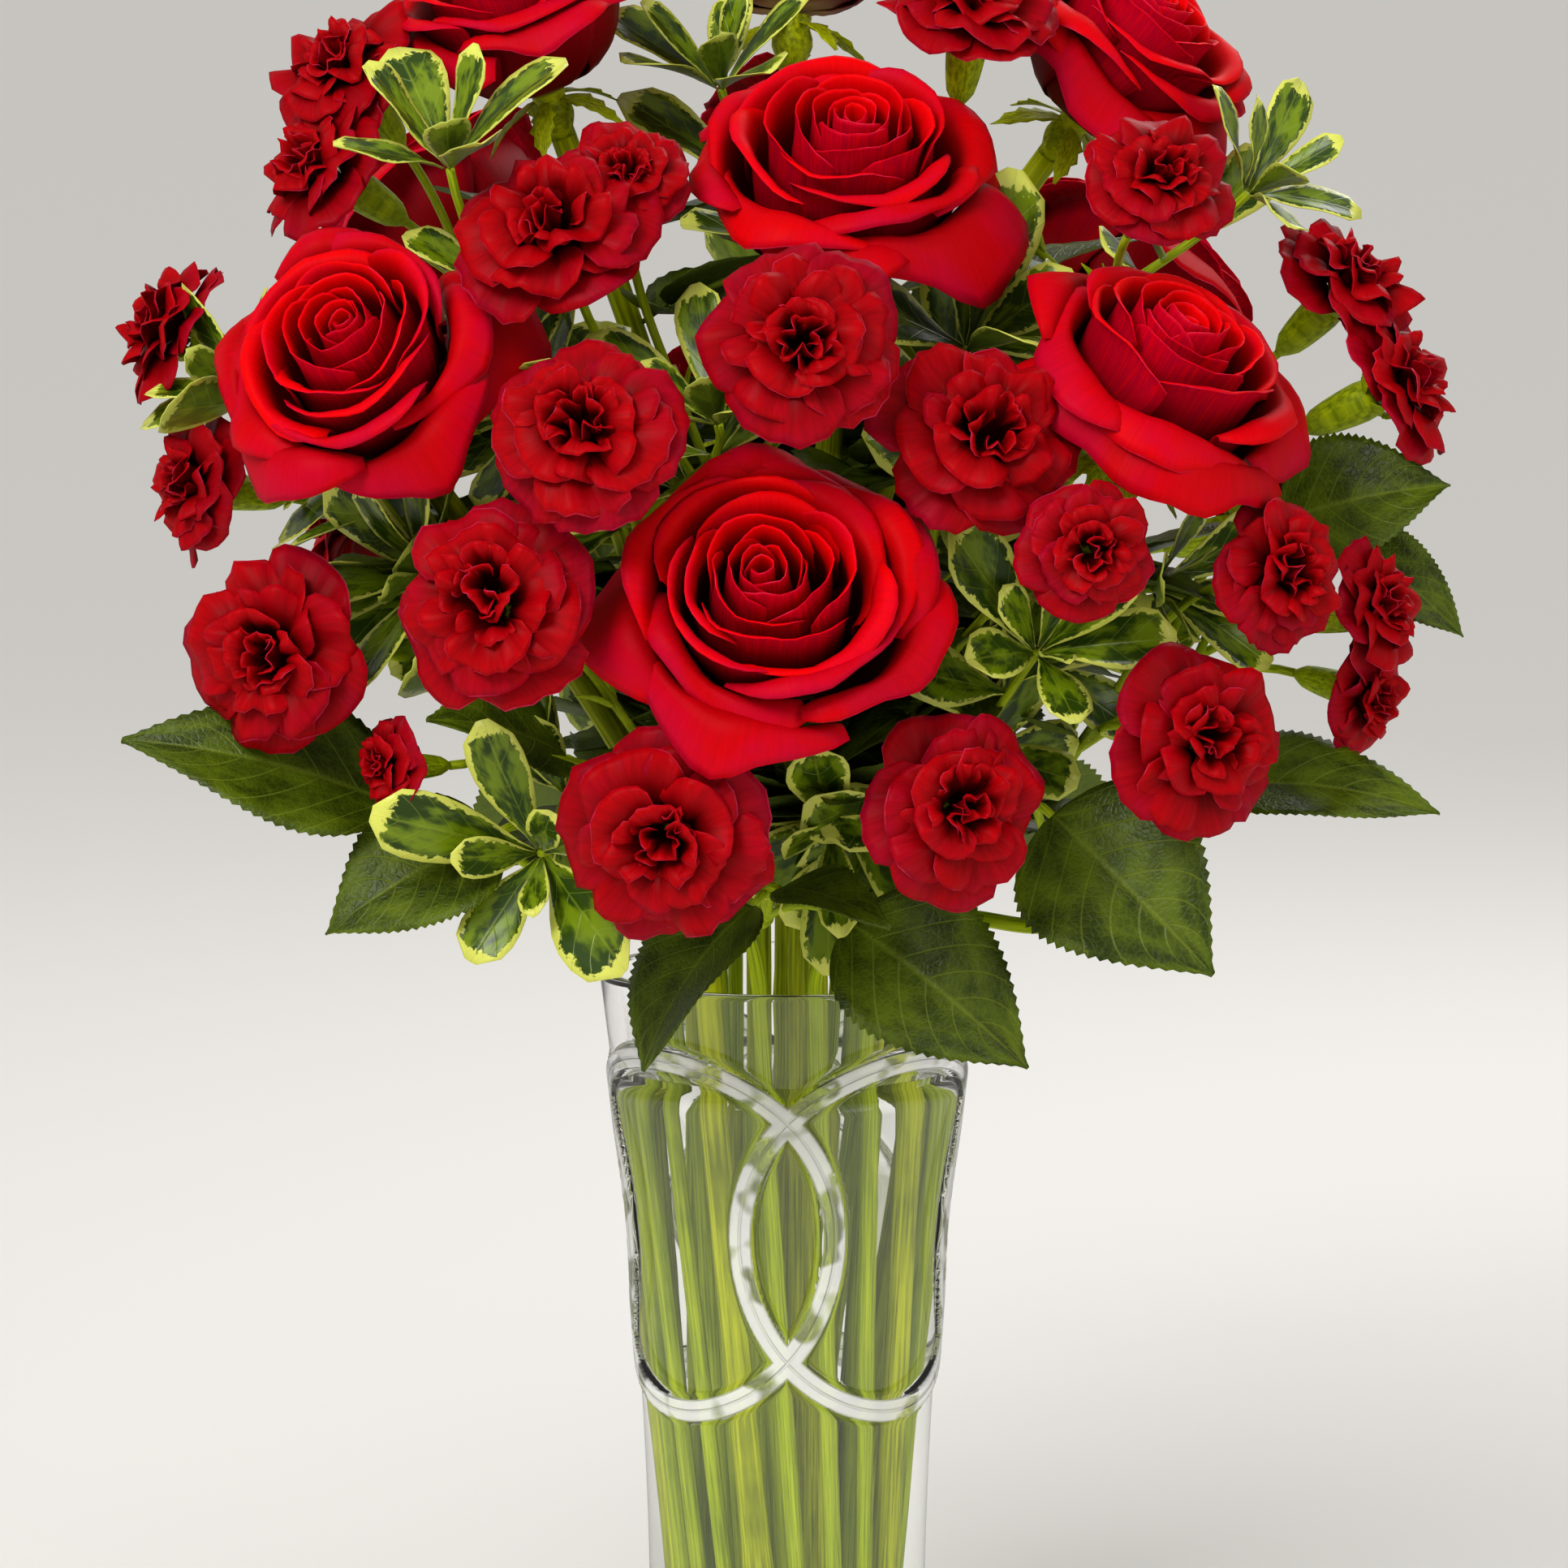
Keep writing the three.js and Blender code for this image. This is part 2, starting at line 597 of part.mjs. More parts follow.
// ---- whole plants ----
const roseFrame = (rose) => {
  const facing = directionOf(rose.facing);
  const base = vector(rose.at).addScaledVector(facing, (-roseFaceHeight * rose.width) / roseFullWidth);
  return { facing, base, frame: placement(base, facing, rose.spin) };
};

const headFoot = (head) => {
  const facing = directionOf(head.facing);
  return vector(head.at).addScaledVector(facing, (-carnationFaceHeight * head.width) / carnationFullWidth);
};

// A stem from its slot to the joint where it forks, with the fork and its direction.
function forkedStem(plant) {
  const joint = vector(plant.joint);
  const rising = joint.clone().sub(neckPoint(plant.slot)).normalize();
  const route = stemRoute(plant.slot, joint, rising, 2);
  const fork = joint.clone().addScaledVector(rising, -2);
  return { stem: tube(route, even(route, sprayStemRadius), 5), fork, rising };
}

function sprayStem(spray) {
  const { stem, fork, rising } = forkedStem(spray);
  return fuse([stem, ...spray.heads.map((head) => calyxBranch(fork, rising, head))]);
}

function sprigSolid(sprig, seed) {
  const { stem, fork, rising } = forkedStem(sprig);
  const twigs = sprig.tips.map((tip, index) => {
    const facing = directionOf(tip.facing);
    const end = vector(tip.at);
    const route = bend(fork, rising, end.clone().addScaledVector(facing, -1), facing, 3);
    return skin([
      ...barRings(route, even(route, branchRadius), 4),
      whorlOutline(tip, seed + index, 0),
      whorlOutline(tip, seed + index, leafThickness * 1.5),
      [end.clone().addScaledVector(facing, 1.6)],
    ]);
  });
  return fuse([stem, ...twigs]);
}

function branchSolid(branch) {
  const { stem, fork, rising } = forkedStem(branch);
  const stalks = branch.leaves.map(({ from, tip, width, roll }) => {
    const start = vector(from);
    const end = vector(tip);
    const direction = end.clone().sub(start).normalize();
    const route = bend(fork, rising, start.clone().addScaledVector(direction, -2), direction, 3);
    const blade = bladeRings({ from: start, tip: end, width, roll });
    return skin([...barRings(route, even(route, branchRadius), 4), ...blade, [end]]);
  });
  return fuse([stem, ...stalks]);
}

// ---- nodes ----
const bouquet = new THREE.Group();

function addNode(name, solid, look) {
  const geometry = geometryOf(mainBody(solid.simplify(smallestStep)));
  const mesh = new THREE.Mesh(geometry, look.clone());
  mesh.name = name;
  bouquet.add(mesh);
}

addNode("vase", vaseSolid(), glass);
addNode("water", waterSolid(), clearWater);

roses.forEach((rose, index) => {
  const { facing, base, frame } = roseFrame(rose);
  const bloom = roseBloom(rose, 11 + index).transform(frame.elements);
  addNode(`rose_bloom_${rose.name}`, bloom, rosePetal);
  addNode(`rose_stem_${rose.name}`, roseStem(rose, base, facing), stemGreen);
});

const headsByBloom = new Map();
sprays.forEach((spray, sprayIndex) => {
  addNode(`carnation_stem_${spray.name}`, sprayStem(spray), greyGreen);
  spray.heads.forEach((head, headIndex) => {
    const bloom = carnationBloom(head, 101 + sprayIndex * 10 + headIndex);
    const placed = bloom.transform(placement(headFoot(head), directionOf(head.facing)).elements);
    headsByBloom.set(head.bloom, [...(headsByBloom.get(head.bloom) ?? []), placed]);
  });
});
headsByBloom.forEach((blooms, name) => addNode(`carnation_${name}`, fuse(blooms), carnationPetal));

sprigs.forEach((sprig, index) => {
  addNode(`variegated_sprig_${sprig.name}`, sprigSolid(sprig, 301 + index * 10), variegated);
});
branches.forEach((branch) => addNode(`broadleaf_branch_${branch.name}`, branchSolid(branch), darkLeaf));

export default bouquet;
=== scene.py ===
import json
import math

import bpy
import numpy as np
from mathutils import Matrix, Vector

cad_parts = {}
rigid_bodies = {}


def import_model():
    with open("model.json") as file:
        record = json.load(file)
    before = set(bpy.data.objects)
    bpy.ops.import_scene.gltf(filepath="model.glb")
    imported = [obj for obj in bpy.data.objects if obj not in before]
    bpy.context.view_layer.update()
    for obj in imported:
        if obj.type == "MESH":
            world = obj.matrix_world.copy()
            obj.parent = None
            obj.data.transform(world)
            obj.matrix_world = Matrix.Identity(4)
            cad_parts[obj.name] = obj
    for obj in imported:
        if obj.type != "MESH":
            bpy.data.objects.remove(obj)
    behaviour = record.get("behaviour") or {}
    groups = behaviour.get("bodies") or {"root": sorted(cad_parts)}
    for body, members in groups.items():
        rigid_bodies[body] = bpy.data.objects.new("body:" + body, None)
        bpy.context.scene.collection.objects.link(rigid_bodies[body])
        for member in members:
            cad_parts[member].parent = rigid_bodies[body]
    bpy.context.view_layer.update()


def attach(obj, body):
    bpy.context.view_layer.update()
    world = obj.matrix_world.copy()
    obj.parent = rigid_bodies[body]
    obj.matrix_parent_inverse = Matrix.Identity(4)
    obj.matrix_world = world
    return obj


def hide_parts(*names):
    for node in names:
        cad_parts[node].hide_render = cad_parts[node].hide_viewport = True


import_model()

# Roses, spray carnations and greenery in a glass vase. Shapes are worked out in millimetres, in the frame of
# the solids, and stored in metres.
mm = 0.001
tiny = 1e-9  # keeps a division from failing
seeds = {
    "rose": 11, "roseStem": 51, "roseLeaves": 61, "carnation": 101, "perSpray": 10, "whorl": 301,
    "perSprig": 10, "spray": 401, "branch": 501,
}


# sRGB hex to linear light: ((c + 0.055) / 1.055) ^ 2.4 above 0.04045, and c / 12.92 below it
def hexColour(text):
    parts = [int(text[i:i + 2], 16) / 255 for i in (1, 3, 5)]
    linear = [((c + 0.055) / 1.055) ** 2.4 if c > 0.04045 else c / 12.92 for c in parts]
    return (*linear, 1.0)


# unit vectors along the last axis: v / |v|
def unit(vectors):
    size = np.linalg.norm(vectors, axis=-1, keepdims=True)
    return vectors / np.maximum(size, tiny)


# 0 below the first edge, 1 above the second and a smooth 3t^2 - 2t^3 between them
def smoothStep(first, second, values):
    share = np.clip((values - first) / (second - first), 0, 1)
    return share * share * (3 - 2 * share)


# direction for [degrees round from the front, degrees above level]: (sin a cos e, -cos a cos e, sin e)
def directionOf(facing):
    around, above = np.radians(facing[0]), np.radians(facing[1])
    return np.array([np.sin(around) * np.cos(above), -np.cos(around) * np.cos(above), np.sin(above)])


# level unit vector at an angle in radians: (cos a, sin a, 0)
def levelAt(angle):
    return np.array([math.cos(angle), math.sin(angle), 0.0])


# turns local +Z the shortest way to a direction d, after a spin about +Z: the quaternion (-dy, dx, 0, 1 + dz)
# divided by its length, which is the root of 2 + 2 dz
def turnTo(direction, spin=0.0):
    x, y, w = np.array([-direction[1], direction[0], 1 + direction[2]]) / math.sqrt(2 + 2 * direction[2])
    turn = np.array([
        [1 - 2 * y * y, 2 * x * y, 2 * y * w],
        [2 * x * y, 1 - 2 * x * x, -2 * x * w],
        [-2 * y * w, 2 * x * w, 1 - 2 * x * x - 2 * y * y]])
    c, s = math.cos(math.radians(spin)), math.sin(math.radians(spin))
    return turn @ np.array([[c, -s, 0], [s, c, 0], [0, 0, 1]])


randomSteps = {"factor": 1664525, "extra": 1013904223, "period": 2 ** 32}


# a steady stream from 0 to 1: state = (factor * state + extra) mod period, and each number is state / period
def randomFrom(seed):
    state = seed
    while True:
        state = (state * randomSteps["factor"] + randomSteps["extra"]) % randomSteps["period"]
        yield state / randomSteps["period"]


# four-sided faces from four arrays of point numbers, which go round each face
def fourSided(*corners):
    return np.stack(corners, axis=-1).reshape(-1, 4)


shellForm = {"rimThickness": 0.35, "rimWidth": 0.12}  # shares of the thickness and of the sheet


# A thin closed shell round a grid of points: both faces lie half a thickness to either side of it along the
# normal (cross product of the grid's two slopes), and thin out to about a third at the rim.
def sheetShell(grid, thickness, tone):
    rows, columns = grid.shape[:2]
    thin = shellForm["rimThickness"]
    normal = unit(np.cross(np.gradient(grid, axis=0), np.gradient(grid, axis=1)))
    along = np.repeat(np.linspace(0, 1, rows)[:, None], columns, axis=1)
    across = np.repeat(np.linspace(-1, 1, columns)[None, :], rows, axis=0)
    rim = np.minimum(np.minimum(1 - np.abs(across), along), 1 - along)
    half = 0.5 * thickness * (thin + (1 - thin) * smoothStep(0, shellForm["rimWidth"], rim))[..., None]
    points = np.concatenate([(grid + normal * half).reshape(-1, 3), (grid - normal * half).reshape(-1, 3)])
    index = np.arange(rows * columns).reshape(rows, columns)
    face = fourSided(index[:-1, :-1], index[1:, :-1], index[1:, 1:], index[:-1, 1:])
    loop = np.concatenate([index[0, :], index[1:, -1], index[-1, -2::-1], index[-2:0:-1, 0]])
    following = np.roll(loop, -1)
    other = rows * columns
    edge = fourSided(loop, following, following + other, loop + other)
    marks = {
        "along": np.tile(along.ravel(), 2), "across": np.tile(across.ravel(), 2),
        "side": np.repeat([0.0, 1.0], other), "tone": np.full(2 * other, tone)}
    quads = np.concatenate([face, face[:, ::-1] + other, edge])
    return {"points": points, "quads": quads, "caps": [], "marks": marks}


# rows of points that close into rings, joined by four-sided faces and shut by a flat cap at both ends
def ringed(points, marks):
    rows, sides = points.shape[:2]
    index = np.arange(rows * sides).reshape(rows, sides)
    beside = np.roll(index, -1, axis=1)
    quads = fourSided(index[:-1], beside[:-1], beside[1:], index[1:])
    caps = [index[0, ::-1], index[-1]]
    return {"points": points.reshape(-1, 3), "quads": quads, "caps": caps, "marks": marks}


# A round bar: path + radius * (first axis * cos a + second axis * sin a), both axes square to the path.
def bar(path, radii, sides, tone):
    path = np.asarray(path, float)
    tangent = unit(np.gradient(path, axis=0))
    aside = np.eye(3)[np.argmin(np.abs(unit(path[-1] - path[0])))]
    first = unit(aside - tangent * (tangent @ aside)[:, None])
    second = np.cross(tangent, first)
    angle = np.linspace(0, 2 * np.pi, sides, endpoint=False)
    radius = np.broadcast_to(np.asarray(radii, float), (len(path),))[:, None, None]
    ring = first[:, None] * np.cos(angle)[None, :, None] + second[:, None] * np.sin(angle)[None, :, None]
    step = np.linalg.norm(np.diff(path, axis=0), axis=1)
    along = np.repeat(np.concatenate([[0], np.cumsum(step)]) / step.sum(), sides)
    return ringed(path[:, None] + ring * radius, {
        "along": along, "across": np.tile(np.cos(angle), len(path)),
        "side": np.zeros(len(along)), "tone": np.full(len(along), tone)})


# the same patch elsewhere: turn * point + origin
def moved(patch, origin, turn):
    return {**patch, "points": patch["points"] @ turn.T + origin}


# puts patches together in one smooth mesh that rides on the object and stands for its CAD nodes
def makePiece(name, patches, material, slot, *nodes):
    starts = np.cumsum([0] + [len(patch["points"]) for patch in patches])
    points = np.concatenate([patch["points"] for patch in patches]) * mm
    quads = np.concatenate([patch["quads"] + start for patch, start in zip(patches, starts)])
    caps = [(cap + start).tolist() for patch, start in zip(patches, starts) for cap in patch["caps"]]
    mesh = bpy.data.meshes.new(name)
    mesh.from_pydata(points, [], quads.tolist() + caps)
    for mark in patches[0]["marks"]:
        values = np.concatenate([patch["marks"][mark] for patch in patches]).astype(np.float32)
        mesh.attributes.new(mark, "FLOAT", "POINT").data.foreach_set("value", values)
    mesh.shade_smooth()
    mesh.materials.append(material)
    piece = bpy.data.objects.new(name, mesh)
    bpy.context.scene.collection.objects.link(piece)
    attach(piece, "root")
    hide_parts(*nodes)
    return piece


# The bouquet's plan in millimetres and degrees, as the solids have it. A slot is where a stem stands in the
# vase's mouth: (distance from the axis, degrees round from the front).
roseColumns = ("name", "at", "facing", "width", "slot", "spin")
roses = [dict(zip(roseColumns, row)) for row in (
    ("front", (-3, -127, 296), (0, 33), 77, (18, 22), 10),
    ("centre", (13, -66, 392), (3, 56), 76, (7, 30), 40),
    ("left", (-102, -92, 348), (-21, 36), 70, (32, -36), 75),
    ("right", (90, -88, 346), (40, 50), 73, (32, 60), 20),
    ("upper_left", (-66, -22, 430), (-50, 66), 66, (18, -157), 55),
    ("upper_right", (86, -10, 420), (62, 50), 68, (18, 157), 5),
    ("top", (2, 46, 452), (175, 76), 74, (7, 180), 30),
    ("back_left", (-92, 84, 372), (-135, 40), 74, (32, -132), 65),
    ("back_right", (90, 90, 356), (135, 38), 76, (32, 132), 15),
)]

# each head: (bloom it belongs to, middle of its face, facing, width)
sprays = [
    {"name": "upper_left", "slot": (32, -108), "joint": (-67, -13.5, 329), "heads": [
        ("upper_left_pair", (-107, -30.5, 412.5), (-45, 45), 40),
        ("upper_left_pair", (-112, -43, 390), (-60, 32), 40),
        ("far_left", (-149.5, -34, 351), (-80, 28), 38)]},
    {"name": "lower_left", "slot": (32, -84), "joint": (-63, -31, 260.5), "heads": [
        ("left_side", (-142.5, -43, 312.5), (-62, 8), 36),
        ("left_front", (-120.5, -91, 278.5), (-28, 6), 46),
        ("left_bud", (-93.5, -92.5, 251), (-58, 2), 23)]},
    {"name": "front_left", "slot": (32, -12), "joint": (-25.5, -74.5, 241.5), "heads": [
        ("over_front_left", (-46, -138, 333), (-15, 25), 45),
        ("beside_front_left", (-67, -133, 293), (-18, 12), 47),
        ("under_front_left", (-28, -132, 239), (-12, -8), 49)]},
    {"name": "upper_front", "slot": (18, -22), "joint": (-12.5, -41.5, 296.5), "heads": [
        ("upper_pair", (-54, -95.5, 378), (-16, 42), 46),
        ("upper_pair", (-37, -84, 389), (0, 42), 30),
        ("middle", (4, -134, 353), (3, 18), 44)]},
    {"name": "front_right", "slot": (32, 36), "joint": (31, -52, 261.5), "heads": [
        ("beside_front_right", (44.5, -114.5, 330.5), (14, 24), 47),
        ("under_front_right", (39, -124, 245), (20, 2), 42),
        ("small_right", (68, -130, 305), (12, 8), 31)]},
    {"name": "lower_right", "slot": (32, 84), "joint": (69.5, -32, 248.5), "heads": [
        ("right_front", (96.5, -106.5, 258.5), (27, 0), 43),
        ("right_middle", (115.5, -97, 296.5), (32, 10), 35),
        ("far_right_pair", (141, -62.5, 285), (62, 10), 33),
        ("far_right_pair", (139, -57, 263.5), (56, -12), 30)]},
    {"name": "upper_right", "slot": (18, 112), "joint": (81.5, -10, 338.5), "heads": [
        ("right_side_pair", (148, -41, 338), (72, 26), 41),
        ("right_side_pair", (135.5, -38, 362), (58, 42), 39),
        ("upper_right", (86, -84, 388), (18, 36), 35),
        ("upper_middle", (44, -44, 428), (14, 62), 40)]},
    {"name": "back", "slot": (32, 156), "joint": (3.5, 62, 278.5), "heads": [
        ("back_middle", (0, 122, 395), (180, 35), 46),
        ("back_lower_pair", (-20, 126, 314), (-174, 10), 46),
        ("back_lower_pair", (14, 126, 299), (176, 6), 46),
        ("back_side_left", (-112, 62, 300), (-112, 10), 44),
        ("back_side_right", (122, 48, 296), (108, 10), 44)]},
]

# each tip: (where the twig ends, facing, leaves in the whorl, leaf length)
sprigs = [
    {"name": "upper_left", "slot": (7, -90), "joint": (-36.5, -58, 299), "tips": [
        ((-16, -88.5, 330.5), (-25.5, 54), 5, 36),
        ((-79, -62, 388.5), (-18, 62.5), 4, 34),
        ((-58.5, -35, 331.5), (-43, 17), 5, 38)]},
    {"name": "upper_right", "slot": (18, 67), "joint": (38, -28, 313), "tips": [
        ((-16, -3.5, 406), (-24.5, 64.5), 5, 36),
        ((42.5, -48, 345.5), (23, 34), 4, 44),
        ((110.5, -24.5, 381.5), (53, 41.5), 4, 28)]},
    {"name": "front_right", "slot": (32, 12), "joint": (29, -46.5, 226), "tips": [
        ((58, -85.5, 277), (17, 28.5), 5, 34),
        ((10, -59, 234.5), (2.5, -21), 4, 32),
        ((86.5, -58, 289.5), (51, 0), 5, 34)]},
    {"name": "left", "slot": (18, -67), "joint": (-49, -45.5, 237), "tips": [
        ((-57.5, -85.5, 230), (-16, -0.5), 5, 34),
        ((-125, -50.5, 334), (-83.5, 31), 3, 34),
        ((-83.5, -59.5, 292.5), (-48.5, 10.5), 5, 36)]},
    {"name": "back", "slot": (32, -156), "joint": (-20, 56, 262), "tips": [
        ((-58, 92, 262), (-150, 0), 5, 36),
        ((4, 104, 340), (180, 30), 5, 36),
        ((71.5, 77.5, 259.5), (123.5, 0.5), 5, 36)]},
]

# each leaf: (end of its stalk, its tip, width, roll about that line)
branches = [
    {"name": "left", "slot": (32, -60), "joint": (-52, -48, 214), "leaves": [
        ((-92, -76, 240), (-156, -80, 256), 34, 50),
        ((-68, -80, 234), (-108, -88, 211), 34, 50),
        ((-52, -66, 250), (-84, -92, 262), 30, 40)]},
    {"name": "front", "slot": (18, -112), "joint": (-5, -52.5, 210), "leaves": [
        ((-8, -74, 216), (-34, -90, 179), 40, 0),
        ((14, -75.5, 212.5), (56.5, -86, 179), 38, -60),
        ((-2, -74, 220), (24, -98, 214), 18, -20)]},
    {"name": "right", "slot": (32, 108), "joint": (65.5, -44.5, 207.5), "leaves": [
        ((62, -78, 238), (99, -98, 203), 44, -60),
        ((100, -62, 243), (154, -70, 237), 28, -35),
        ((118, -40, 304), (158, -46, 313), 32, -60),
        ((134.5, -34, 299.5), (162, -40, 276), 18, -60)]},
    {"name": "back", "slot": (32, 180), "joint": (0, 54, 214), "leaves": [
        ((-46, 66, 222), (-86, 96, 200), 38, -40),
        ((0, 72, 220), (6, 104, 180), 40, 0),
        ((48, 64, 224), (92, 88, 200), 38, 40)]},
]


# The middles of two pairs of opposite ovals are given in degrees round from the front. pole is how near a
# profile comes to the axis, and rows and sides are numbers of points.
vaseForm = {
    "height": 190, "footRadius": 34.3, "rimFlare": 12.2, "flareStart": 25, "flarePower": 1.79,
    "wall": 4.5, "floor": 14, "footRound": 2.5, "footFlat": 1, "rimRound": 1.6, "bowlRound": 9, "pole": 0.05,
    "ovalCentre": 128.5, "ovalHalfHeight": 44, "ovalHalfAngle": 61.5, "bandWidth": 7, "bandHeight": 1.5,
    "ovals": ((45, 225), (135, 315)), "bevel": 1.1, "sides": 320, "bandRows": 136, "rowsBelow": 16,
    "rowsAbove": 4, "rowsInside": 22, "cornerRows": 5, "bowlRows": 7,
}
farAway = 99.0  # a distance in millimetres from every band


# radius = foot + flare * ((z - start) / (height - start)) ^ power above the start of the flare
def outerRadius(z):
    form = vaseForm
    share = np.maximum(0, (np.asarray(z, float) - form["flareStart"]) / (form["height"] - form["flareStart"]))
    return form["footRadius"] + form["rimFlare"] * share ** form["flarePower"]


# the outside less the wall
def innerRadius(z):
    return outerRadius(z) - vaseForm["wall"]


# Signed distance from the line of the nearer of two opposite ovals, in millimetres: (f - 1) / |slope of f|
# with f = hypot(x / a, z / b), x being measured round the wall from the oval's middle and z from its centre.
def ovalDistance(angle, z, centres):
    form = vaseForm
    girth = outerRadius(z)
    halfWidth = np.radians(form["ovalHalfAngle"]) * girth
    up = z - form["ovalCentre"]
    nearest = np.full(np.broadcast(angle, z).shape, farAway)
    for centre in centres:
        away = (angle - math.radians(centre) + np.pi) % (2 * np.pi) - np.pi
        x = away * girth
        f = np.hypot(x / halfWidth, up / form["ovalHalfHeight"])
        slope = np.hypot(x / halfWidth ** 2, up / form["ovalHalfHeight"] ** 2) / np.maximum(f, tiny)
        nearest = np.minimum(nearest, (f - 1) / np.maximum(slope, tiny))
    return nearest


# height of the raised bands, flat on top with a bevel on both sides: bandHeight * smoothStep of the distance
# from an oval's line
def bandRelief(angle, z):
    form = vaseForm
    pair = [np.abs(ovalDistance(angle, z, centres)) for centres in form["ovals"]]
    half = form["bandWidth"] / 2
    return form["bandHeight"] * smoothStep(half, half - form["bevel"], np.minimum(*pair))


# a profile turned round the vase's axis: (r sin a, -r cos a, z), where r may differ with the angle too
def turned(radius, z, sides):
    angle = np.linspace(0, 2 * np.pi, sides, endpoint=False)
    radius = np.broadcast_to(radius if radius.ndim == 2 else radius[:, None], (len(z), sides))
    height = np.repeat(z[:, None], sides, axis=1)
    points = np.stack([radius * np.sin(angle), -radius * np.cos(angle), height], axis=-1)
    along = np.repeat(np.linspace(0, 1, len(z)), sides)
    return ringed(points, {"along": along, "across": np.tile(angle / np.pi - 1, len(z))})


# rounded corner of a profile: (r, z) = centre + radius * (sin a, cos a)
def quarter(r, z, radius, start, end, rows):
    angle = np.radians(np.linspace(start, end, rows))
    return np.stack([r + radius * np.sin(angle), z + radius * np.cos(angle)], axis=-1)


# The profile runs from the middle of the foot up the outside, over the lip and down the inside to the floor:
# (outerRadius, z) with the bands' relief added, then (innerRadius, z), joined by rounded corners.
def makeVase(material):
    form = vaseForm
    top, foot, rim, bowl = form["height"], form["footRound"], form["rimRound"], form["bowlRound"]
    bandReach = form["ovalHalfHeight"] + form["bandWidth"]
    bandLow, bandHigh = form["ovalCentre"] - bandReach, form["ovalCentre"] + bandReach
    corner, bowlStart = form["cornerRows"], form["floor"] + bowl
    outer = np.concatenate([
        np.linspace(foot, bandLow, form["rowsBelow"], endpoint=False),
        np.linspace(bandLow, bandHigh, form["bandRows"]),
        np.linspace(bandHigh, top - rim, form["rowsAbove"] + 1)[1:]])
    inner = np.linspace(top - rim, bowlStart, form["rowsInside"])
    under = np.array([[form["pole"], 0], [form["footRadius"] - foot - form["footFlat"], 0]])
    profile = np.concatenate([
        under,
        quarter(form["footRadius"] - foot, foot, foot, 180, 90, corner)[:-1],
        np.stack([outerRadius(outer), outer], axis=-1),
        quarter(float(outerRadius(top)) - rim, top - rim, rim, 90, 0, corner)[1:],
        quarter(float(innerRadius(top)) + rim, top - rim, rim, 0, -90, corner),
        np.stack([innerRadius(inner), inner], axis=-1)[1:],
        quarter(float(innerRadius(bowlStart)) - bowl, bowlStart, bowl, 90, 180, form["bowlRows"])[1:],
        [[form["pole"], form["floor"]]]])
    angle = np.linspace(0, 2 * np.pi, form["sides"], endpoint=False)[None, :]
    start = len(under) + corner - 1
    rows = slice(start, start + len(outer))
    radius = np.repeat(profile[:, :1], form["sides"], axis=1)
    radius[rows] += bandRelief(angle, profile[rows, 1:])
    patch = turned(radius, profile[:, 1], form["sides"])
    outside = np.zeros((len(profile), 1), bool)
    outside[rows] = True
    for name, centres in zip(("bandA", "bandB"), form["ovals"]):
        distance = np.where(outside, ovalDistance(angle, profile[:, 1:], centres), farAway)
        patch["marks"][name] = distance.ravel()
    return makePiece("vase_glass", [patch], material, "glass", "vase")


# gaps are the distances from the glass where the rows of the surface lie
waterForm = {
    "level": 165, "meniscus": 1.6, "climb": 1.5, "intoGlass": 0.15, "sides": 120, "wallRows": 20,
    "gaps": (0.6, 1.3, 2.4, 4, 7),
}


# The water fills the bowl, reaches a little into the glass and climbs it:
# z = level + rise * exp(-gap / climb), gap being the distance from the glass.
def makeWater(material):
    form, bowl, pole = waterForm, vaseForm["bowlRound"], vaseForm["pole"]
    level, overlap, rise = form["level"], form["intoGlass"], form["meniscus"]
    floor = vaseForm["floor"]
    wall = np.linspace(floor + bowl, level + rise, form["wallRows"])
    corner = quarter(
        float(innerRadius(floor + bowl)) - bowl, floor + bowl, bowl + overlap, 180, 90, vaseForm["bowlRows"])
    gaps = np.array(form["gaps"])
    climbing = level + rise * np.exp(-gaps / form["climb"])
    surface = np.stack([float(innerRadius(level)) - gaps, climbing], axis=-1)
    profile = np.concatenate([
        [[pole, floor - overlap]], corner[:-1], np.stack([innerRadius(wall) + overlap, wall], axis=-1),
        surface, [[pole, level]]])
    patch = turned(profile[:, 0], profile[:, 1], form["sides"])
    return makePiece("water_body", [patch], material, "water", "water")


# Knots stand at shares of a stem's length, a rose stem's two at random between the given ones. handle is a
# share of the distance that a bend spans.
stemForm = {
    "footHeight": 14.75, "neckHeight": 188, "squeeze": 0.56, "twist": 24, "straightRows": 25, "handle": 0.36,
    "roseRadius": 3.2, "roseSides": 14, "roseKnots": (0.08, 0.8), "roseRows": 26,
    "sprayRadius": 1.9, "spraySides": 10, "sprayKnots": (0.45, 0.72, 0.985), "sprayRows": 18,
    "twigRadius": 1.1, "twigSides": 8, "forkBelow": 2, "knotSwell": 0.12, "knotLength": 2.5,
}


# where a stem crosses the mouth of the vase: (distance * sin a, -distance * cos a, neck height)
def neckPoint(slot):
    angle = math.radians(slot[1])
    return np.array([slot[0] * math.sin(angle), -slot[0] * math.cos(angle), stemForm["neckHeight"]])


# where it stands on the floor: the same place drawn in by squeeze and turned on by twist
def footPoint(slot):
    point = neckPoint((slot[0] * stemForm["squeeze"], slot[1] + stemForm["twist"]))
    point[2] = stemForm["footHeight"]
    return point


# cubic Bezier whose handles are a set share of the distance long, along the two given directions
def bend(start, leaving, end, arriving, rows):
    reach = stemForm["handle"] * np.linalg.norm(end - start)
    t = np.linspace(0, 1, rows + 1)[:, None]
    first, second = start + leaving * reach, end - arriving * reach
    return (1 - t) ** 3 * start + 3 * t * (1 - t) ** 2 * first + 3 * t * t * (1 - t) * second + t ** 3 * end


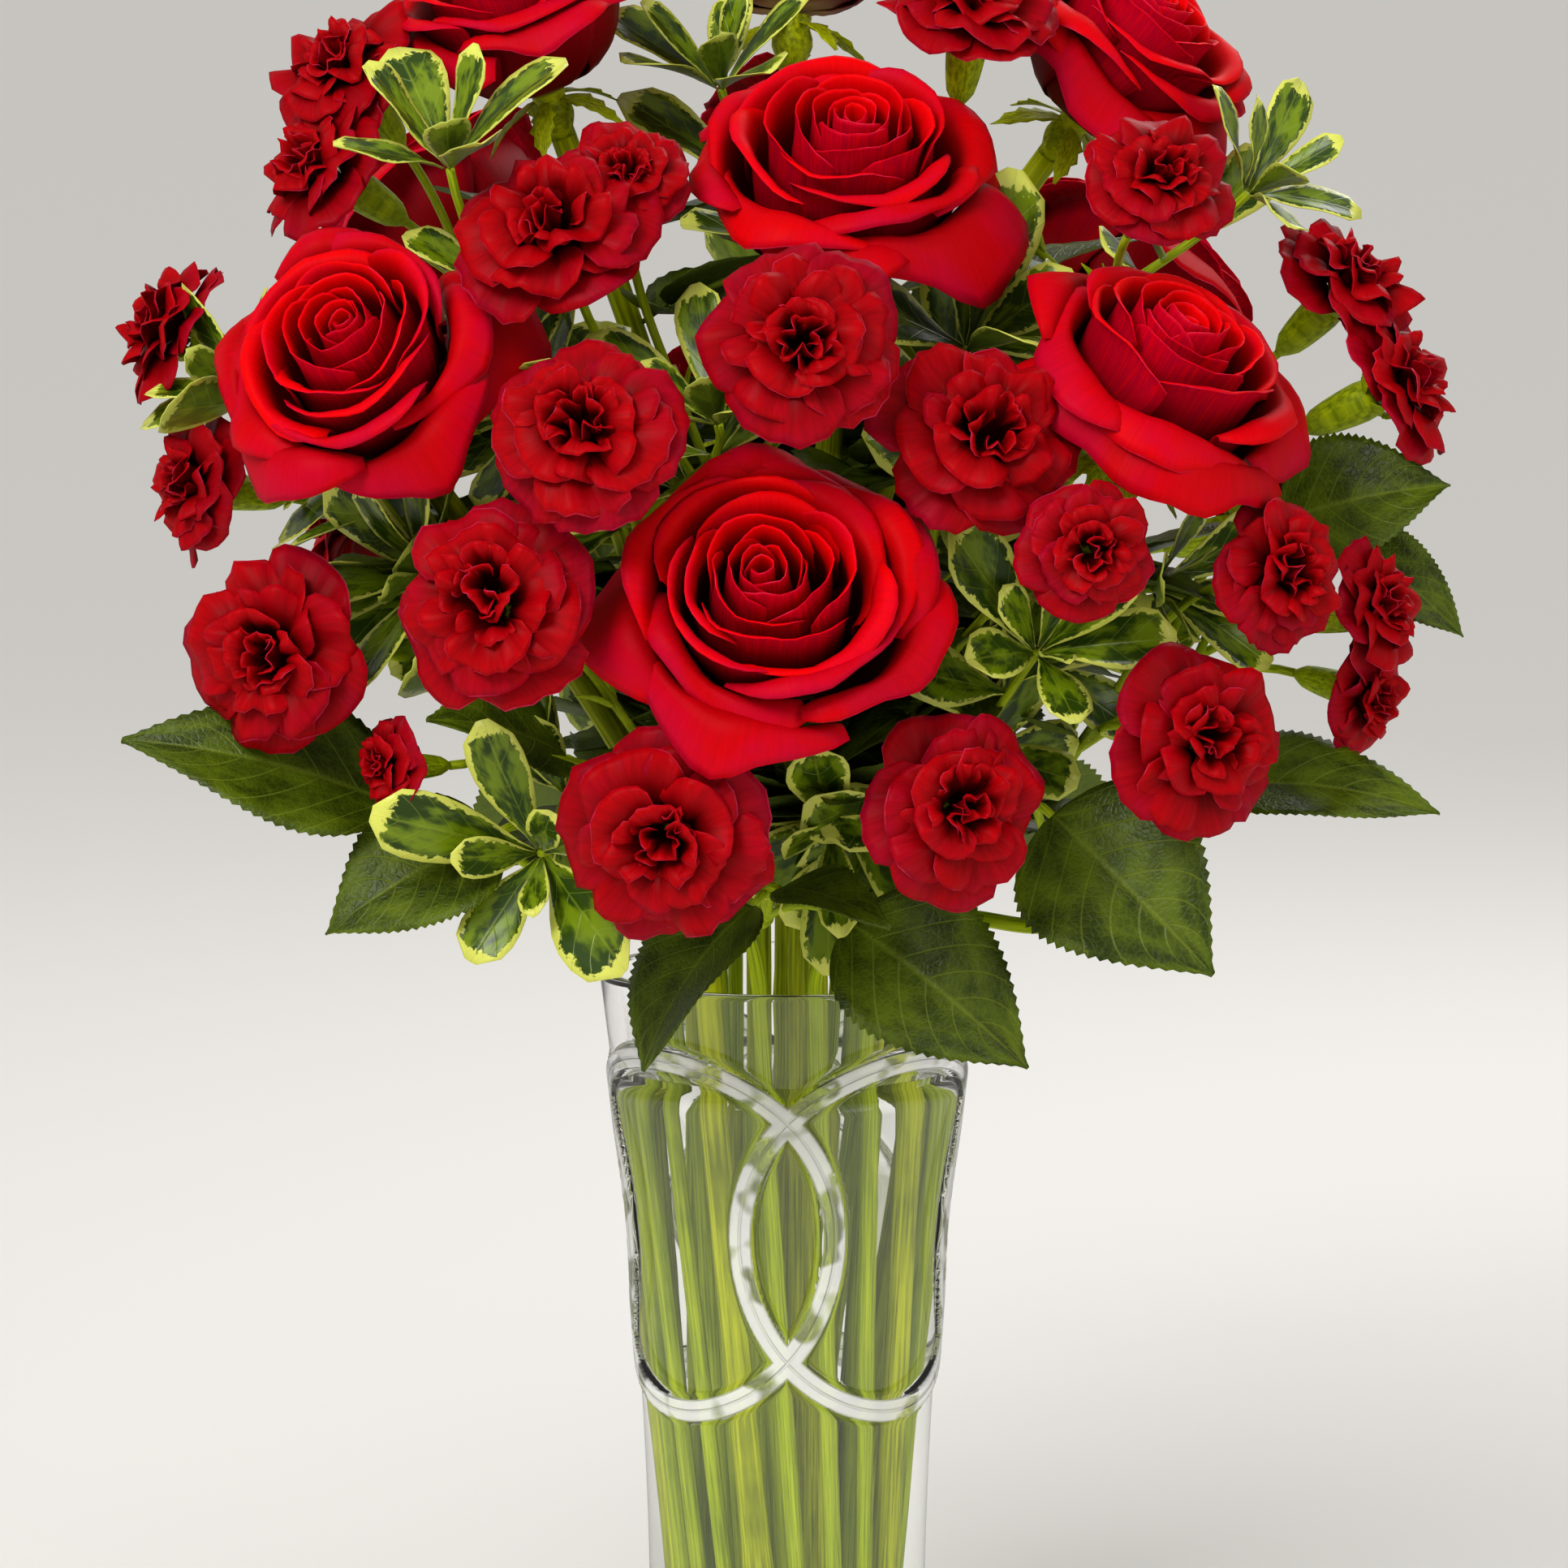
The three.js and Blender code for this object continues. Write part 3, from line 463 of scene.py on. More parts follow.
# straight through the vase, foot + (neck - foot) * t, then one bend to the end
def stemRoute(slot, end, direction, rows):
    foot, neck = footPoint(slot), neckPoint(slot)
    straight = foot + (neck - foot) * np.linspace(0, 1, stemForm["straightRows"])[:, None]
    return np.concatenate([straight, bend(neck, unit(neck - foot), end, direction, rows)[1:]])


# radius along a stem: r (1 + swell * sum of exp(-(distance to a knot / knot's length)^2))
def knottedRadius(path, radius, knots):
    run = np.concatenate([[0], np.cumsum(np.linalg.norm(np.diff(path, axis=0), axis=1))])
    swell = sum(np.exp(-((run - run[-1] * knot) / stemForm["knotLength"]) ** 2) for knot in knots)
    return radius * (1 + stemForm["knotSwell"] * swell)


# The formula of petalSheet as powers, shares and widths. soft holds two swells: (turns across, radians along,
# share of the petal's phase, height).
petalShape = {
    "crowding": 1.35, "cornerPower": 4, "edgePower": 3, "tipWidth": 0.2, "creaseWidth": 0.18,
    "creaseLevel": 0.3, "rimTuck": 0.03, "edgeLip": 0.3, "mostCurl": 1.1, "lipPower": 1.6, "wavePower": 2.2,
    "pleatPower": 1.5, "pleatPhase": 7, "soft": ((2.3, 5, 3, 1.0), (4.7, -6, 5, 0.6)), "leastRadius": 0.3,
}
petalDefaults = {
    "claw": 2.4, "clawHeight": 1.2, "belly": 1.1, "low": 0.05, "shoulder": 0.98, "lift": 0.72,
    "corner": 0.12, "tip": 0.0, "roll": 0.0, "lean": 0.0, "lip": 0.0, "drop": 0.0, "lipStart": 0.7,
    "lipVary": 0.25, "wave": 0.0, "waves": 1.2, "soft": 0.3, "pleat": 0.0, "pleats": 3.5, "crease": 0.0,
    "overlap": 0.07, "clawShare": 0.3, "spread": 1.3, "swirl": 0.0, "teeth": 0.0, "toothDepth": 0.0,
}


# One petal as a sheet: u runs from edge to edge and s from claw to rim. In each column a cubic Bezier runs in
# the (r, z) plane from the claw over a belly and a shoulder to the top, and a lip then curls off it:
# r + lip * c^1.6 and z - drop * c^2, with c the share past lipStart. The column stands at the angle
# u * halfAngle * (clawShare + (1 - clawShare) * sin(pi / 2 * s * spread)). The rim is cut back at the corners
# by corner * u^4, drawn to a point by tip * exp(-(u / 0.2)^2) and toothed, and the sheet is waved along its
# normal: wave * s^2.2 * sin(pi * waves * u) with soft swells, pleats and a crease down the middle.
def petalSheet(petal, columns, rows):
    shape = petalShape
    u = np.linspace(-1, 1, columns)[None, :]
    v = 1 - (1 - np.linspace(0, 1, rows)[:, None]) ** shape["crowding"]
    phase = 2 * np.pi * petal["phase"]
    tooth = np.abs((u * petal["teeth"] + petal["phase"]) % 1 - 0.5) * 2 - 0.5
    outline = 1 - petal["corner"] * np.abs(u) ** shape["cornerPower"]
    outline = outline + petal["tip"] * np.exp(-(u / shape["tipWidth"]) ** 2)
    s = v * (outline + petal["toothDepth"] * tooth)
    edge = np.abs(u) ** shape["edgePower"]
    top = petal["top"]
    height = petal["height"] - petal["roll"] * edge + petal["lean"] * u
    handles = [
        (petal["claw"], petal["clawHeight"]), (top * petal["belly"], height * petal["low"]),
        (top * petal["shoulder"], height * petal["lift"]), (top * (1 - shape["rimTuck"] * edge), height)]
    weight = [(1 - s) ** 3, 3 * s * (1 - s) ** 2, 3 * s ** 2 * (1 - s), s ** 3]
    r = sum(w * handle[0] for w, handle in zip(weight, handles))
    z = sum(w * handle[1] for w, handle in zip(weight, handles))
    curl = np.clip((s - petal["lipStart"]) / (1 - petal["lipStart"]), 0, shape["mostCurl"])
    curled = 1 + petal["lipVary"] * np.cos(np.pi * u + phase) + shape["edgeLip"] * edge
    r = r + petal["lip"] * curled * curl ** shape["lipPower"]
    z = z - petal["drop"] * curled * curl ** 2
    slopeR, slopeZ = np.gradient(r, axis=0), np.gradient(z, axis=0)
    length = np.hypot(slopeR, slopeZ) + tiny
    wave = petal["wave"] * s ** shape["wavePower"] * np.sin(np.pi * petal["waves"] * u + phase)
    wave = wave + petal["soft"] * s * sum(
        share * np.sin(turns * np.pi * u + rise * s + shift * phase)
        for turns, rise, shift, share in shape["soft"])
    pleats = np.sin(np.pi * petal["pleats"] * u + shape["pleatPhase"] * phase)
    crease = np.exp(-(u / shape["creaseWidth"]) ** 2) - shape["creaseLevel"]
    wave = wave + s ** shape["pleatPower"] * (petal["pleat"] * pleats + petal["crease"] * crease)
    r = r - wave * slopeZ / length
    z = z + wave * slopeR / length
    r = np.maximum(r * (1 + petal["overlap"] * u * s), shape["leastRadius"])
    opening = np.sin(np.pi / 2 * np.minimum(s * petal["spread"], 1))
    spread = petal["clawShare"] + (1 - petal["clawShare"]) * opening
    angle = np.radians(petal["around"] + u * petal["halfAngle"] * spread + petal["swirl"] * s ** 2)
    return np.stack([r * np.cos(angle), r * np.sin(angle), z], axis=-1)


# The layers of a bloom from the outside in. Each turns on by half a petal and a little more, and the heart
# sits off the middle by heartShift * inward^shiftPower and leans by heartTilt * inward, inward going from 0
# to 1. varied changes a petal by eight random numbers and says how far it stands aside.
def bloomOf(form, width, seed, varied):
    draw = np.random.default_rng(seed)
    size = width / form["fullWidth"]
    turn = draw.uniform(0, 360)
    shiftSide = levelAt(draw.uniform(0, 2 * np.pi))
    leanSide = levelAt(draw.uniform(0, 2 * np.pi)) if form["heartTilt"] else shiftSide
    patches = []
    for depth, layer in enumerate(form["layers"]):
        inward = depth / (len(form["layers"]) - 1)
        turn += 180 / layer["count"] + form["layerTurn"]
        shift = form["heartShift"] * inward ** form["shiftPower"] * shiftSide
        for i in range(layer["count"]):
            vary = draw.uniform(-1, 1, 8)
            petal = {**petalDefaults, **form["shared"], **layer, "phase": vary[6], "way": -1 if i % 2 else 1}
            petal["around"] = turn + 360 * i / layer["count"] + vary[0] * form["vary"]["around"]
            aside = varied(petal, vary, depth)
            sheet = petalSheet(petal, form["columns"], form["rows"]) + shift + aside
            sheet[..., 2] += form["heartTilt"] * inward * (sheet @ leanSide)
            tone = inward + form["vary"]["tone"] * vary[1]
            patches.append(sheetShell(sheet * size, form["thickness"], tone))
    return patches


# Layers from the guard petals in to the furled heart, in millimetres for a rose 76 mm across. top is the
# radius where the lip starts to curl.
roseForm = {
    "fullWidth": 76, "faceHeight": 30, "thickness": 0.45, "columns": 15, "rows": 14, "layerTurn": 14,
    "heartShift": 3.0, "shiftPower": 1.5, "heartTilt": 0.1, "outerLayers": 5, "shared": {},
    "vary": {
        "around": 8, "top": 0.03, "outerTop": 0.03, "height": 0.6, "outerHeight": 1.2, "angle": 0.08,
        "curl": 0.42, "leastCurl": 0.5, "standing": 2.2, "lean": 2.6, "leastLean": 0.2, "crease": 0.5,
        "tone": 0.12},
    "layers": [
        {"count": 5, "top": 30.8, "height": 30.5, "halfAngle": 46, "belly": 1.12, "shoulder": 0.82,
         "low": 0.0, "lift": 1.2, "roll": 4.0, "lip": 7.2, "drop": 8.4, "lipStart": 0.6, "tip": 0.05,
         "wave": 2.2},
        {"count": 5, "top": 27.2, "height": 34.8, "halfAngle": 50, "belly": 1.16, "shoulder": 0.86,
         "lift": 1.04, "roll": 3.6, "lip": 5.8, "drop": 5.4, "lipStart": 0.64, "tip": 0.03, "wave": 1.8},
        {"count": 4, "top": 21.8, "height": 39, "halfAngle": 60, "belly": 1.25, "shoulder": 0.92,
         "lift": 0.92, "roll": 3.2, "lip": 4.2, "drop": 2.4, "lipStart": 0.7, "tip": 0.02, "wave": 1.1},
        {"count": 4, "top": 16.6, "height": 41.2, "halfAngle": 63, "belly": 1.35, "shoulder": 1.02,
         "lift": 0.84, "roll": 2.6, "lip": 2.9, "drop": 1.3, "lipStart": 0.76, "wave": 0.9},
        {"count": 3, "top": 11.7, "height": 42.6, "halfAngle": 82, "belly": 1.5, "shoulder": 1.12,
         "lift": 0.8, "roll": 2.2, "lip": 1.7, "drop": 0.6, "lipStart": 0.8, "wave": 0.7},
        {"count": 3, "top": 7.9, "height": 42.8, "halfAngle": 88, "belly": 1.7, "shoulder": 1.2,
         "lift": 0.75, "roll": 1.6, "lip": 0.9, "drop": 0.3, "lipStart": 0.84, "wave": 0.5},
        {"count": 2, "top": 4.8, "height": 42.2, "halfAngle": 130, "belly": 1.9, "shoulder": 1.3,
         "lift": 0.7, "roll": 1.0, "lip": 0.5, "drop": 0.2, "lipStart": 0.86, "wave": 0.3, "overlap": 0.16},
        {"count": 1, "top": 2.6, "height": 41.2, "halfAngle": 230, "belly": 1.6, "shoulder": 1.3,
         "lift": 0.7, "overlap": 0.34, "clawShare": 0.8},
    ],
}


# A petal whose lip curls little stands higher and shows its back, curl being 1 + limit * random number *
# share. The outer layers differ more than the heart: outer falls from 1 to 0 over them.
def varyRose(petal, vary, depth):
    limits = roseForm["vary"]
    outer = max(0.0, 1 - depth / roseForm["outerLayers"])
    least = limits["leastCurl"]
    curl = 1 + limits["curl"] * vary[4] * (least + (1 - least) * outer)
    petal["top"] *= 1 + (limits["top"] + limits["outerTop"] * outer) * vary[1]
    petal["height"] += vary[2] * (limits["height"] + limits["outerHeight"] * outer)
    petal["height"] -= limits["standing"] * outer * vary[4]
    petal["halfAngle"] *= 1 + limits["angle"] * vary[3]
    petal["lip"] *= curl
    petal["drop"] *= curl ** 2
    petal["lean"] = limits["lean"] * vary[5] * (limits["leastLean"] + outer)
    petal["crease"] = limits["crease"] * vary[7] * outer
    return 0.0


# Layers of a carnation 46 mm across, from the broad guard petals in to the crumpled heart. fold bends a petal
# along its middle, and stray puts it off the bloom's middle, so that the heart's petals lie pell-mell.
carnationForm = {
    "fullWidth": 46, "faceHeight": 10, "thickness": 0.35, "columns": 15, "rows": 9, "layerTurn": 11,
    "heartShift": 1.8, "shiftPower": 1.0, "heartTilt": 0.0,
    "shared": {
        "claw": 1.8, "clawHeight": 0.3, "clawShare": 0.2, "spread": 1.1, "teeth": 3.5, "toothDepth": 0.03},
    "vary": {
        "around": 10, "top": 0.08, "height": 1.5, "wave": 0.4, "angle": 0.1, "lean": 2.4, "swirl": 14,
        "fold": 0.4, "tone": 0.12},
    "layers": [
        {"count": 5, "top": 21.8, "height": 5.0, "halfAngle": 54, "belly": 0.23, "low": 1.3, "shoulder": 0.65,
         "lift": 1.6, "lip": 2.0, "drop": 1.4, "lipStart": 0.6, "wave": 1.7, "waves": 1.4, "pleat": 0.8,
         "corner": 0.3, "fold": 0.4, "stray": 0.6},
        {"count": 5, "top": 18.4, "height": 9.8, "halfAngle": 54, "belly": 0.22, "low": 0.8, "shoulder": 0.6,
         "lift": 1.2, "lip": 1.9, "drop": 1.2, "lipStart": 0.6, "wave": 2.2, "waves": 1.6, "pleat": 0.9,
         "corner": 0.28, "fold": 0.8, "stray": 1.0},
        {"count": 4, "top": 13.4, "height": 14.0, "halfAngle": 64, "belly": 0.25, "low": 0.7, "shoulder": 0.6,
         "lift": 1.05, "lip": 1.6, "drop": 0.9, "lipStart": 0.6, "wave": 2.5, "waves": 1.9, "pleat": 0.8,
         "corner": 0.28, "fold": 1.8, "stray": 1.6},
        {"count": 4, "top": 8.4, "height": 16.4, "halfAngle": 62, "belly": 0.5, "low": 0.5, "shoulder": 0.8,
         "lift": 0.95, "lip": 1.4, "drop": 0.7, "wave": 2.3, "waves": 1.9, "pleat": 0.6, "overlap": 0.1,
         "corner": 0.3, "fold": 3.2, "stray": 2.2},
        {"count": 3, "top": 4.2, "height": 17.6, "halfAngle": 80, "belly": 0.8, "low": 0.4, "shoulder": 0.95,
         "lift": 0.9, "lip": 1.0, "drop": 0.4, "wave": 1.8, "waves": 2.3, "pleat": 0.5, "overlap": 0.14,
         "corner": 0.3, "fold": 3.4, "stray": 2.4},
    ],
}


# every other petal folds the other way, and each strays aside by stray * (a random number each in x and y)
def varyCarnation(petal, vary, depth):
    limits = carnationForm["vary"]
    petal["top"] *= 1 + limits["top"] * vary[1]
    petal["height"] += limits["height"] * vary[2]
    petal["wave"] *= 1 + limits["wave"] * vary[3]
    petal["halfAngle"] *= 1 + limits["angle"] * vary[4]
    petal["lean"] = limits["lean"] * vary[5] * (1 - depth / (len(carnationForm["layers"]) - 1))
    petal["swirl"] = limits["swirl"] * vary[7]
    petal["crease"] = petal["way"] * petal["fold"] * (1 + limits["fold"] * vary[1])
    return petal["stray"] * np.array([vary[3], vary[5], 0.0])


anyPhase = (0, 6)  # where the wave of a leaf's edge starts, in radians
# teeth grow from leastTooth of their size to all of it over toothStart
bladeForm = {
    "end": 0.004, "toothStart": (0.05, 0.2), "leastTooth": 0.3, "toothPower": 6, "toothSlant": 0.12,
    "waves": 9, "sideShift": 2,
}


# a pointed oval is widest at a third, a blunt one beyond the middle, and a strap is long and narrow
outlines = {
    "pointed": {"rise": 0.6, "fall": 1.15, "peak": 0.304, "least": 0.03},
    "blunt": {"rise": 1.15, "fall": 0.45, "peak": 0.415, "least": 0.07},
    "strap": {"power": 0.8, "least": 0.08},
}


# Width of a blade along its length, 1 at the widest: s^rise (1 - s)^fall / peak for an oval, and
# sin(pi s^power)^power for a strap.
def outlineAt(kind, s):
    form = outlines[kind]
    if kind == "strap":
        return np.maximum(np.sin(np.pi * s ** form["power"]) ** form["power"], form["least"])
    return np.maximum(s ** form["rise"] * (1 - s) ** form["fall"] / form["peak"], form["least"])


# A blade in its own frame, s running from 0 to 1 along it and u from -1 to 1 across: the rib runs along +X
# from 0 to length with a bow of bow * length * s (1 - s), the half width is width / 2 * outline(s) *
# (1 + tooth * zigzag), and the sides rise by fold * |y| and wave by wave * u^2 * sin(waves * s + phase),
# one side sideShift ahead of the other.
def bladeSheet(length, width, outline, rows, columns, bow=0.0, fold=0.2, tooth=0.0, wave=0.0, phase=0.0):
    form = bladeForm
    s = np.linspace(form["end"], 1 - form["end"], rows)[:, None]
    u = np.linspace(-1, 1, columns)[None, :]
    least = form["leastTooth"]
    zigzag = np.where(np.arange(rows) % 2, 1.0, -1.0)[:, None] * np.abs(u) ** form["toothPower"]
    zigzag = zigzag * (least + (1 - least) * smoothStep(*form["toothStart"], s))
    x = s * length + tooth * length * form["toothSlant"] * zigzag
    y = u * width / 2 * outlineAt(outline, s) * (1 + tooth * zigzag)
    waved = wave * u ** 2 * np.sin(form["waves"] * s + phase + (u > 0) * form["sideShift"])
    z = bow * length * s * (1 - s) + fold * np.abs(y) + waved
    return np.stack([x, y, z], axis=-1)


# Axes of a blade that runs from a point towards a tip, as columns: along, across, up. Across is level, turned
# by roll about along, and up never points down.
def bladeAxes(start, tip, roll=0.0):
    along = unit(tip - start)
    level = unit(np.array([-along[1], along[0], 0.0]) + tiny)
    angle = math.radians(-roll)
    level = level * math.cos(angle) + np.cross(along, level) * math.sin(angle)
    up = np.cross(along, level)
    if up[2] < 0:
        up, level = -up, -level
    return np.stack([along, level, up], axis=-1)


# axes of a blade whose upper face looks as nearly as it can along a direction:
# up is upper - along (along . upper), made a unit vector
def bladeFacing(start, tip, upper):
    along = unit(tip - start)
    up = unit(upper - along * (along @ upper))
    return np.stack([along, np.cross(up, along), up], axis=-1)


# one leaf that runs from start to tip: a blade given its thickness and stood on its axes
def leafBetween(start, tip, width, outline, form, axes, tone=0.5, **curves):
    length = float(np.linalg.norm(tip - start))
    sheet = bladeSheet(length, width, outline, form["rows"], form["columns"], **curves)
    return moved(sheetShell(sheet, form["thickness"], tone), start, axes)


# depths behind the face and radius as shares of a bloom's width
ballForm = {
    "roseDepth": 0.18, "carnationDepth": 0.08, "radius": 0.47, "front": (0.0, -0.99, 0.12), "turnedAway": 0.2,
}
# for every bloom: the middle of its face, facing, width and depth
balls = [(rose["at"], directionOf(rose["facing"]), rose["width"], ballForm["roseDepth"]) for rose in roses]
balls += [
    (at, directionOf(facing), width, ballForm["carnationDepth"])
    for spray in sprays for _, at, facing, width in spray["heads"]]


# True when no point lies in a bloom's ball, right in front of its face, or in front of a bloom that looks to
# the front: out is the way along the axis, and aside the distance from it
def clearOfBlooms(points):
    for at, facing, width, depth in balls:
        offset = points - (np.array(at) - facing * width * depth)
        radius = width * ballForm["radius"]
        if (np.linalg.norm(offset, axis=1) < radius).any():
            return False
        for axis in (facing, np.array(ballForm["front"])):
            if axis @ facing < ballForm["turnedAway"]:
                continue
            out = offset @ axis
            aside = np.linalg.norm(offset - out[:, None] * axis, axis=1)
            if ((out > 0) & (aside < radius)).any():
                return False
    return True


# reach from the vase's axis below and above the height turnover
spaceForm = {"low": 207, "lowReach": 94, "reach": 132, "turnover": 262, "high": 440}


# True when the points stay in the room between the vase's mouth and the outer blooms
def insideBouquet(points):
    form = spaceForm
    away, height = np.hypot(points[:, 0], points[:, 1]), points[:, 2]
    limit = np.where(height < form["turnover"], form["lowReach"], form["reach"])
    return bool(((away < limit) & (height > form["low"]) & (height < form["high"])).all())


# Reach and steep are the least value and how much is added at random; the other pairs are the ends of a
# random range. reach, rise and width are shares of the leaf's length.
whorlForm = {
    "thickness": 0.5, "rows": 9, "columns": 7, "footOut": 1.2, "footUp": 0.6, "bow": (0.0, 0.25),
    "fold": (0.05, 0.3), "wave": (0.2, 0.9), "turnShare": 0.25, "reach": (0.8, 0.3), "steep": (0.45, 0.35),
    "shorter": (0.72, 1.0), "width": (0.44, 0.6),
    "innerLeaves": 3, "innerTurn": 40, "innerReach": (0.34, 0.55), "innerRise": (1.0, 1.9), "innerWidth": 0.7,
    "sideLeaves": 9, "sideStart": 0.2, "sideSpan": 0.75, "tries": 12, "sideReach": (0.6, 1.05),
    "sideRise": (0.2, 0.8), "sideWidth": 0.58,
}


# Leaves that spread round a twig's tip, then smaller ones inside them and more down the twig where there is
# room. Each ends at reach * (cos a, sin a) and rise in the frame of the twig.
def whorl(tip, twig, seed):
    at, facing, leaves, length = tip
    form = whorlForm
    random = randomFrom(seed)
    draw = np.random.default_rng(seed)
    direction = directionOf(facing)
    turn = turnTo(direction)

    def leaf(around, reach, rise, width, origin, footUp=form["footUp"]):
        outward = levelAt(math.radians(around))
        start = origin + turn @ (outward * form["footOut"] + np.array([0, 0, footUp]))
        end = origin + turn @ (outward * reach + np.array([0, 0, rise]))
        return leafBetween(
            start, end, width, "blunt", form, bladeFacing(start, end, direction),
            bow=draw.uniform(*form["bow"]), fold=draw.uniform(*form["fold"]),
            wave=draw.uniform(*form["wave"]), phase=draw.uniform(*anyPhase), tone=draw.uniform())

    at = np.array(at, float)
    patches = []
    for i in range(leaves):
        step = 360 / leaves
        around = i * step + next(random) * step * form["turnShare"]
        reach = length * (form["reach"][0] + next(random) * form["reach"][1])
        steep = form["steep"][0] + next(random) * form["steep"][1]
        reach = reach * draw.uniform(*form["shorter"])
        patches.append(leaf(around, reach, reach * steep, reach * draw.uniform(*form["width"]), at))
    for i in range(form["innerLeaves"]):
        reach = length * draw.uniform(*form["innerReach"])
        rise = reach * draw.uniform(*form["innerRise"])
        around = form["innerTurn"] + i * 360 / form["innerLeaves"]
        patches.append(leaf(around, reach, rise, reach * form["innerWidth"], at))
    for i in range(form["sideLeaves"]):
        place = form["sideStart"] + form["sideSpan"] * i / form["sideLeaves"]
        origin = twig[int(place * (len(twig) - 1))]
        for attempt in range(form["tries"]):
            reach = length * draw.uniform(*form["sideReach"])
            around, rise = draw.uniform(0, 360), reach * draw.uniform(*form["sideRise"])
            side = leaf(around, reach, rise, reach * form["sideWidth"], origin, footUp=0)
            if insideBouquet(side["points"]) and clearOfBlooms(side["points"]):
                patches.append(side)
                break
    return patches


# count leaves stand on each stem, and a leaflet is (turn, length, width, share of the stalk where it stands)
compoundForm = {
    "rows": 17, "columns": 5, "thickness": 0.45, "stalk": 12, "stalkRadius": 0.7, "stalkRows": 4,
    "stalkSides": 6, "stalkTone": 0.3, "tries": 24, "count": 16, "rise": (-0.35, 0.7), "upperLean": 0.35,
    "size": (0.8, 1.2), "stray": 8, "droop": 0.3, "bow": 0.2, "aboveVase": 5, "stemShare": 0.8,
    "curves": {"fold": 0.2, "tooth": 0.03, "wave": 0.6},
    "leaflets": ((0, 38, 25, 1.0), (-58, 31, 21, 0.62), (58, 31, 21, 0.62)),
}


# A rose leaf: a thin stalk with one leaflet at its end and a pair below it, at the first free place of a few.
# A leaflet runs along out * cos a + level * sin a, drooping a little.
def compoundLeaf(origin, draw):
    form = compoundForm
    for attempt in range(form["tries"]):
        azimuth, rise = draw.uniform(0, 2 * np.pi), draw.uniform(*form["rise"])
        outward = levelAt(azimuth - math.pi / 2)
        out = unit(outward + np.array([0, 0, rise]))
        upper = unit(form["upperLean"] * outward + np.array([0, 0, 1.0]))
        size = draw.uniform(*form["size"])
        end = origin + out * form["stalk"] * size
        level = unit(np.cross(upper, out))
        stalk = np.linspace(origin, end, form["stalkRows"])
        patches = [bar(stalk, form["stalkRadius"], form["stalkSides"], form["stalkTone"])]
        for turn, length, width, share in form["leaflets"]:
            angle = math.radians(turn + draw.uniform(-form["stray"], form["stray"]))
            droop = np.array([0, 0, draw.uniform(0, form["droop"])])
            along = unit(out * math.cos(angle) + level * math.sin(angle) - droop)
            start = origin + (end - origin) * share
            tip = start + along * length * size
            patches.append(leafBetween(
                start, tip, width * size, "pointed", form, bladeFacing(start, tip, upper),
                bow=draw.uniform(0, form["bow"]), phase=draw.uniform(*anyPhase), tone=draw.uniform(),
                **form["curves"]))
        points = np.concatenate([patch["points"] for patch in patches])
        if insideBouquet(points) and clearOfBlooms(points):
            return patches
    return []


# Adds a shader node of a kind, sets its settings, and fills its inputs with values or links. A text stands
# for a colour in hex, and a node for its first output in use.
def addNode(tree, kind, inputs, **settings):
    node = tree.nodes.new("ShaderNode" + kind)
    for name, value in settings.items():
        setattr(node, name, value)
    for name, value in inputs.items():
        if isinstance(value, str):
            value = hexColour(value)
        if isinstance(value, bpy.types.Node):
            value = next(socket for socket in value.outputs if socket.enabled)
        if isinstance(value, bpy.types.NodeSocket):
            tree.links.new(value, node.inputs[name])
        else:
            node.inputs[name].default_value = value
    return node


# starts an empty material, and gives its tree and the numbers that its mesh carries at its points, by name
def newMaterial(name, *marks):
    material = bpy.data.materials.new(name)
    material.use_nodes = True
    tree = material.node_tree
    tree.nodes.clear()
    signals = {mark: addNode(tree, "Attribute", {}, attribute_name=mark).outputs["Fac"] for mark in marks}
    return material, tree, signals


# ends a material: the Principled shader with its inputs, and bump from a height, 1 being depth metres
def finishMaterial(material, inputs, height=None, strength=1.0, depth=mm):
    tree = material.node_tree
    if height is not None:
        inputs["Normal"] = addNode(tree, "Bump", {"Height": height, "Strength": strength, "Distance": depth})
    shader = addNode(tree, "BsdfPrincipled", inputs)
    addNode(tree, "OutputMaterial", {"Surface": shader})
    return material


# smooth noise in object coordinates, with patches of a real size in millimetres
def patchy(tree, size, detail):
    place = addNode(tree, "TexCoord", {}).outputs["Object"]
    return addNode(tree, "TexNoise", {"Vector": place, "Scale": 1 / (size * mm), "Detail": detail})


toneStep = 37.0  # puts each petal's or leaf's tone far from its neighbour's in the noise
streakRoughness = 0.6


# streaks along a petal, leaf or stem: noise at (across * fine, along * coarse, tone * toneStep)
def streaks(tree, marks, fine, coarse, detail=3.0):
    place = {}
    for axis, mark, scale in (("X", "across", fine), ("Y", "along", coarse), ("Z", "tone", toneStep)):
        place[axis] = addNode(tree, "Math", {0: marks[mark], 1: scale}, operation="MULTIPLY")
    return addNode(tree, "TexNoise", {
        "Vector": addNode(tree, "CombineXYZ", place), "Scale": 1.0, "Detail": detail,
        "Roughness": streakRoughness})


# The product of smooth steps, each (signal, from, to, value at from, value at to), the values being 0 and 1
# where they are left out.
def stepped(tree, *steps):
    share = None
    for signal, low, high, *ends in steps:
        first, second = ends or (0.0, 1.0)
        step = addNode(tree, "MapRange", {
            "Value": signal, "From Min": low, "From Max": high, "To Min": first, "To Max": second},
            interpolation_type="SMOOTHSTEP")
        share = step if share is None else addNode(tree, "Math", {0: share, 1: step}, operation="MULTIPLY")
    return share


# Coats of colour over each other, each (share, colour): below * (1 - share) + colour * share. Sockets 0, 6
# and 7 of a Mix node are the share and the two colours.
def coated(tree, below, *coats):
    for share, colour in coats:
        below = addNode(tree, "Mix", {0: share, 6: below, 7: colour}, data_type="RGBA")
    return below


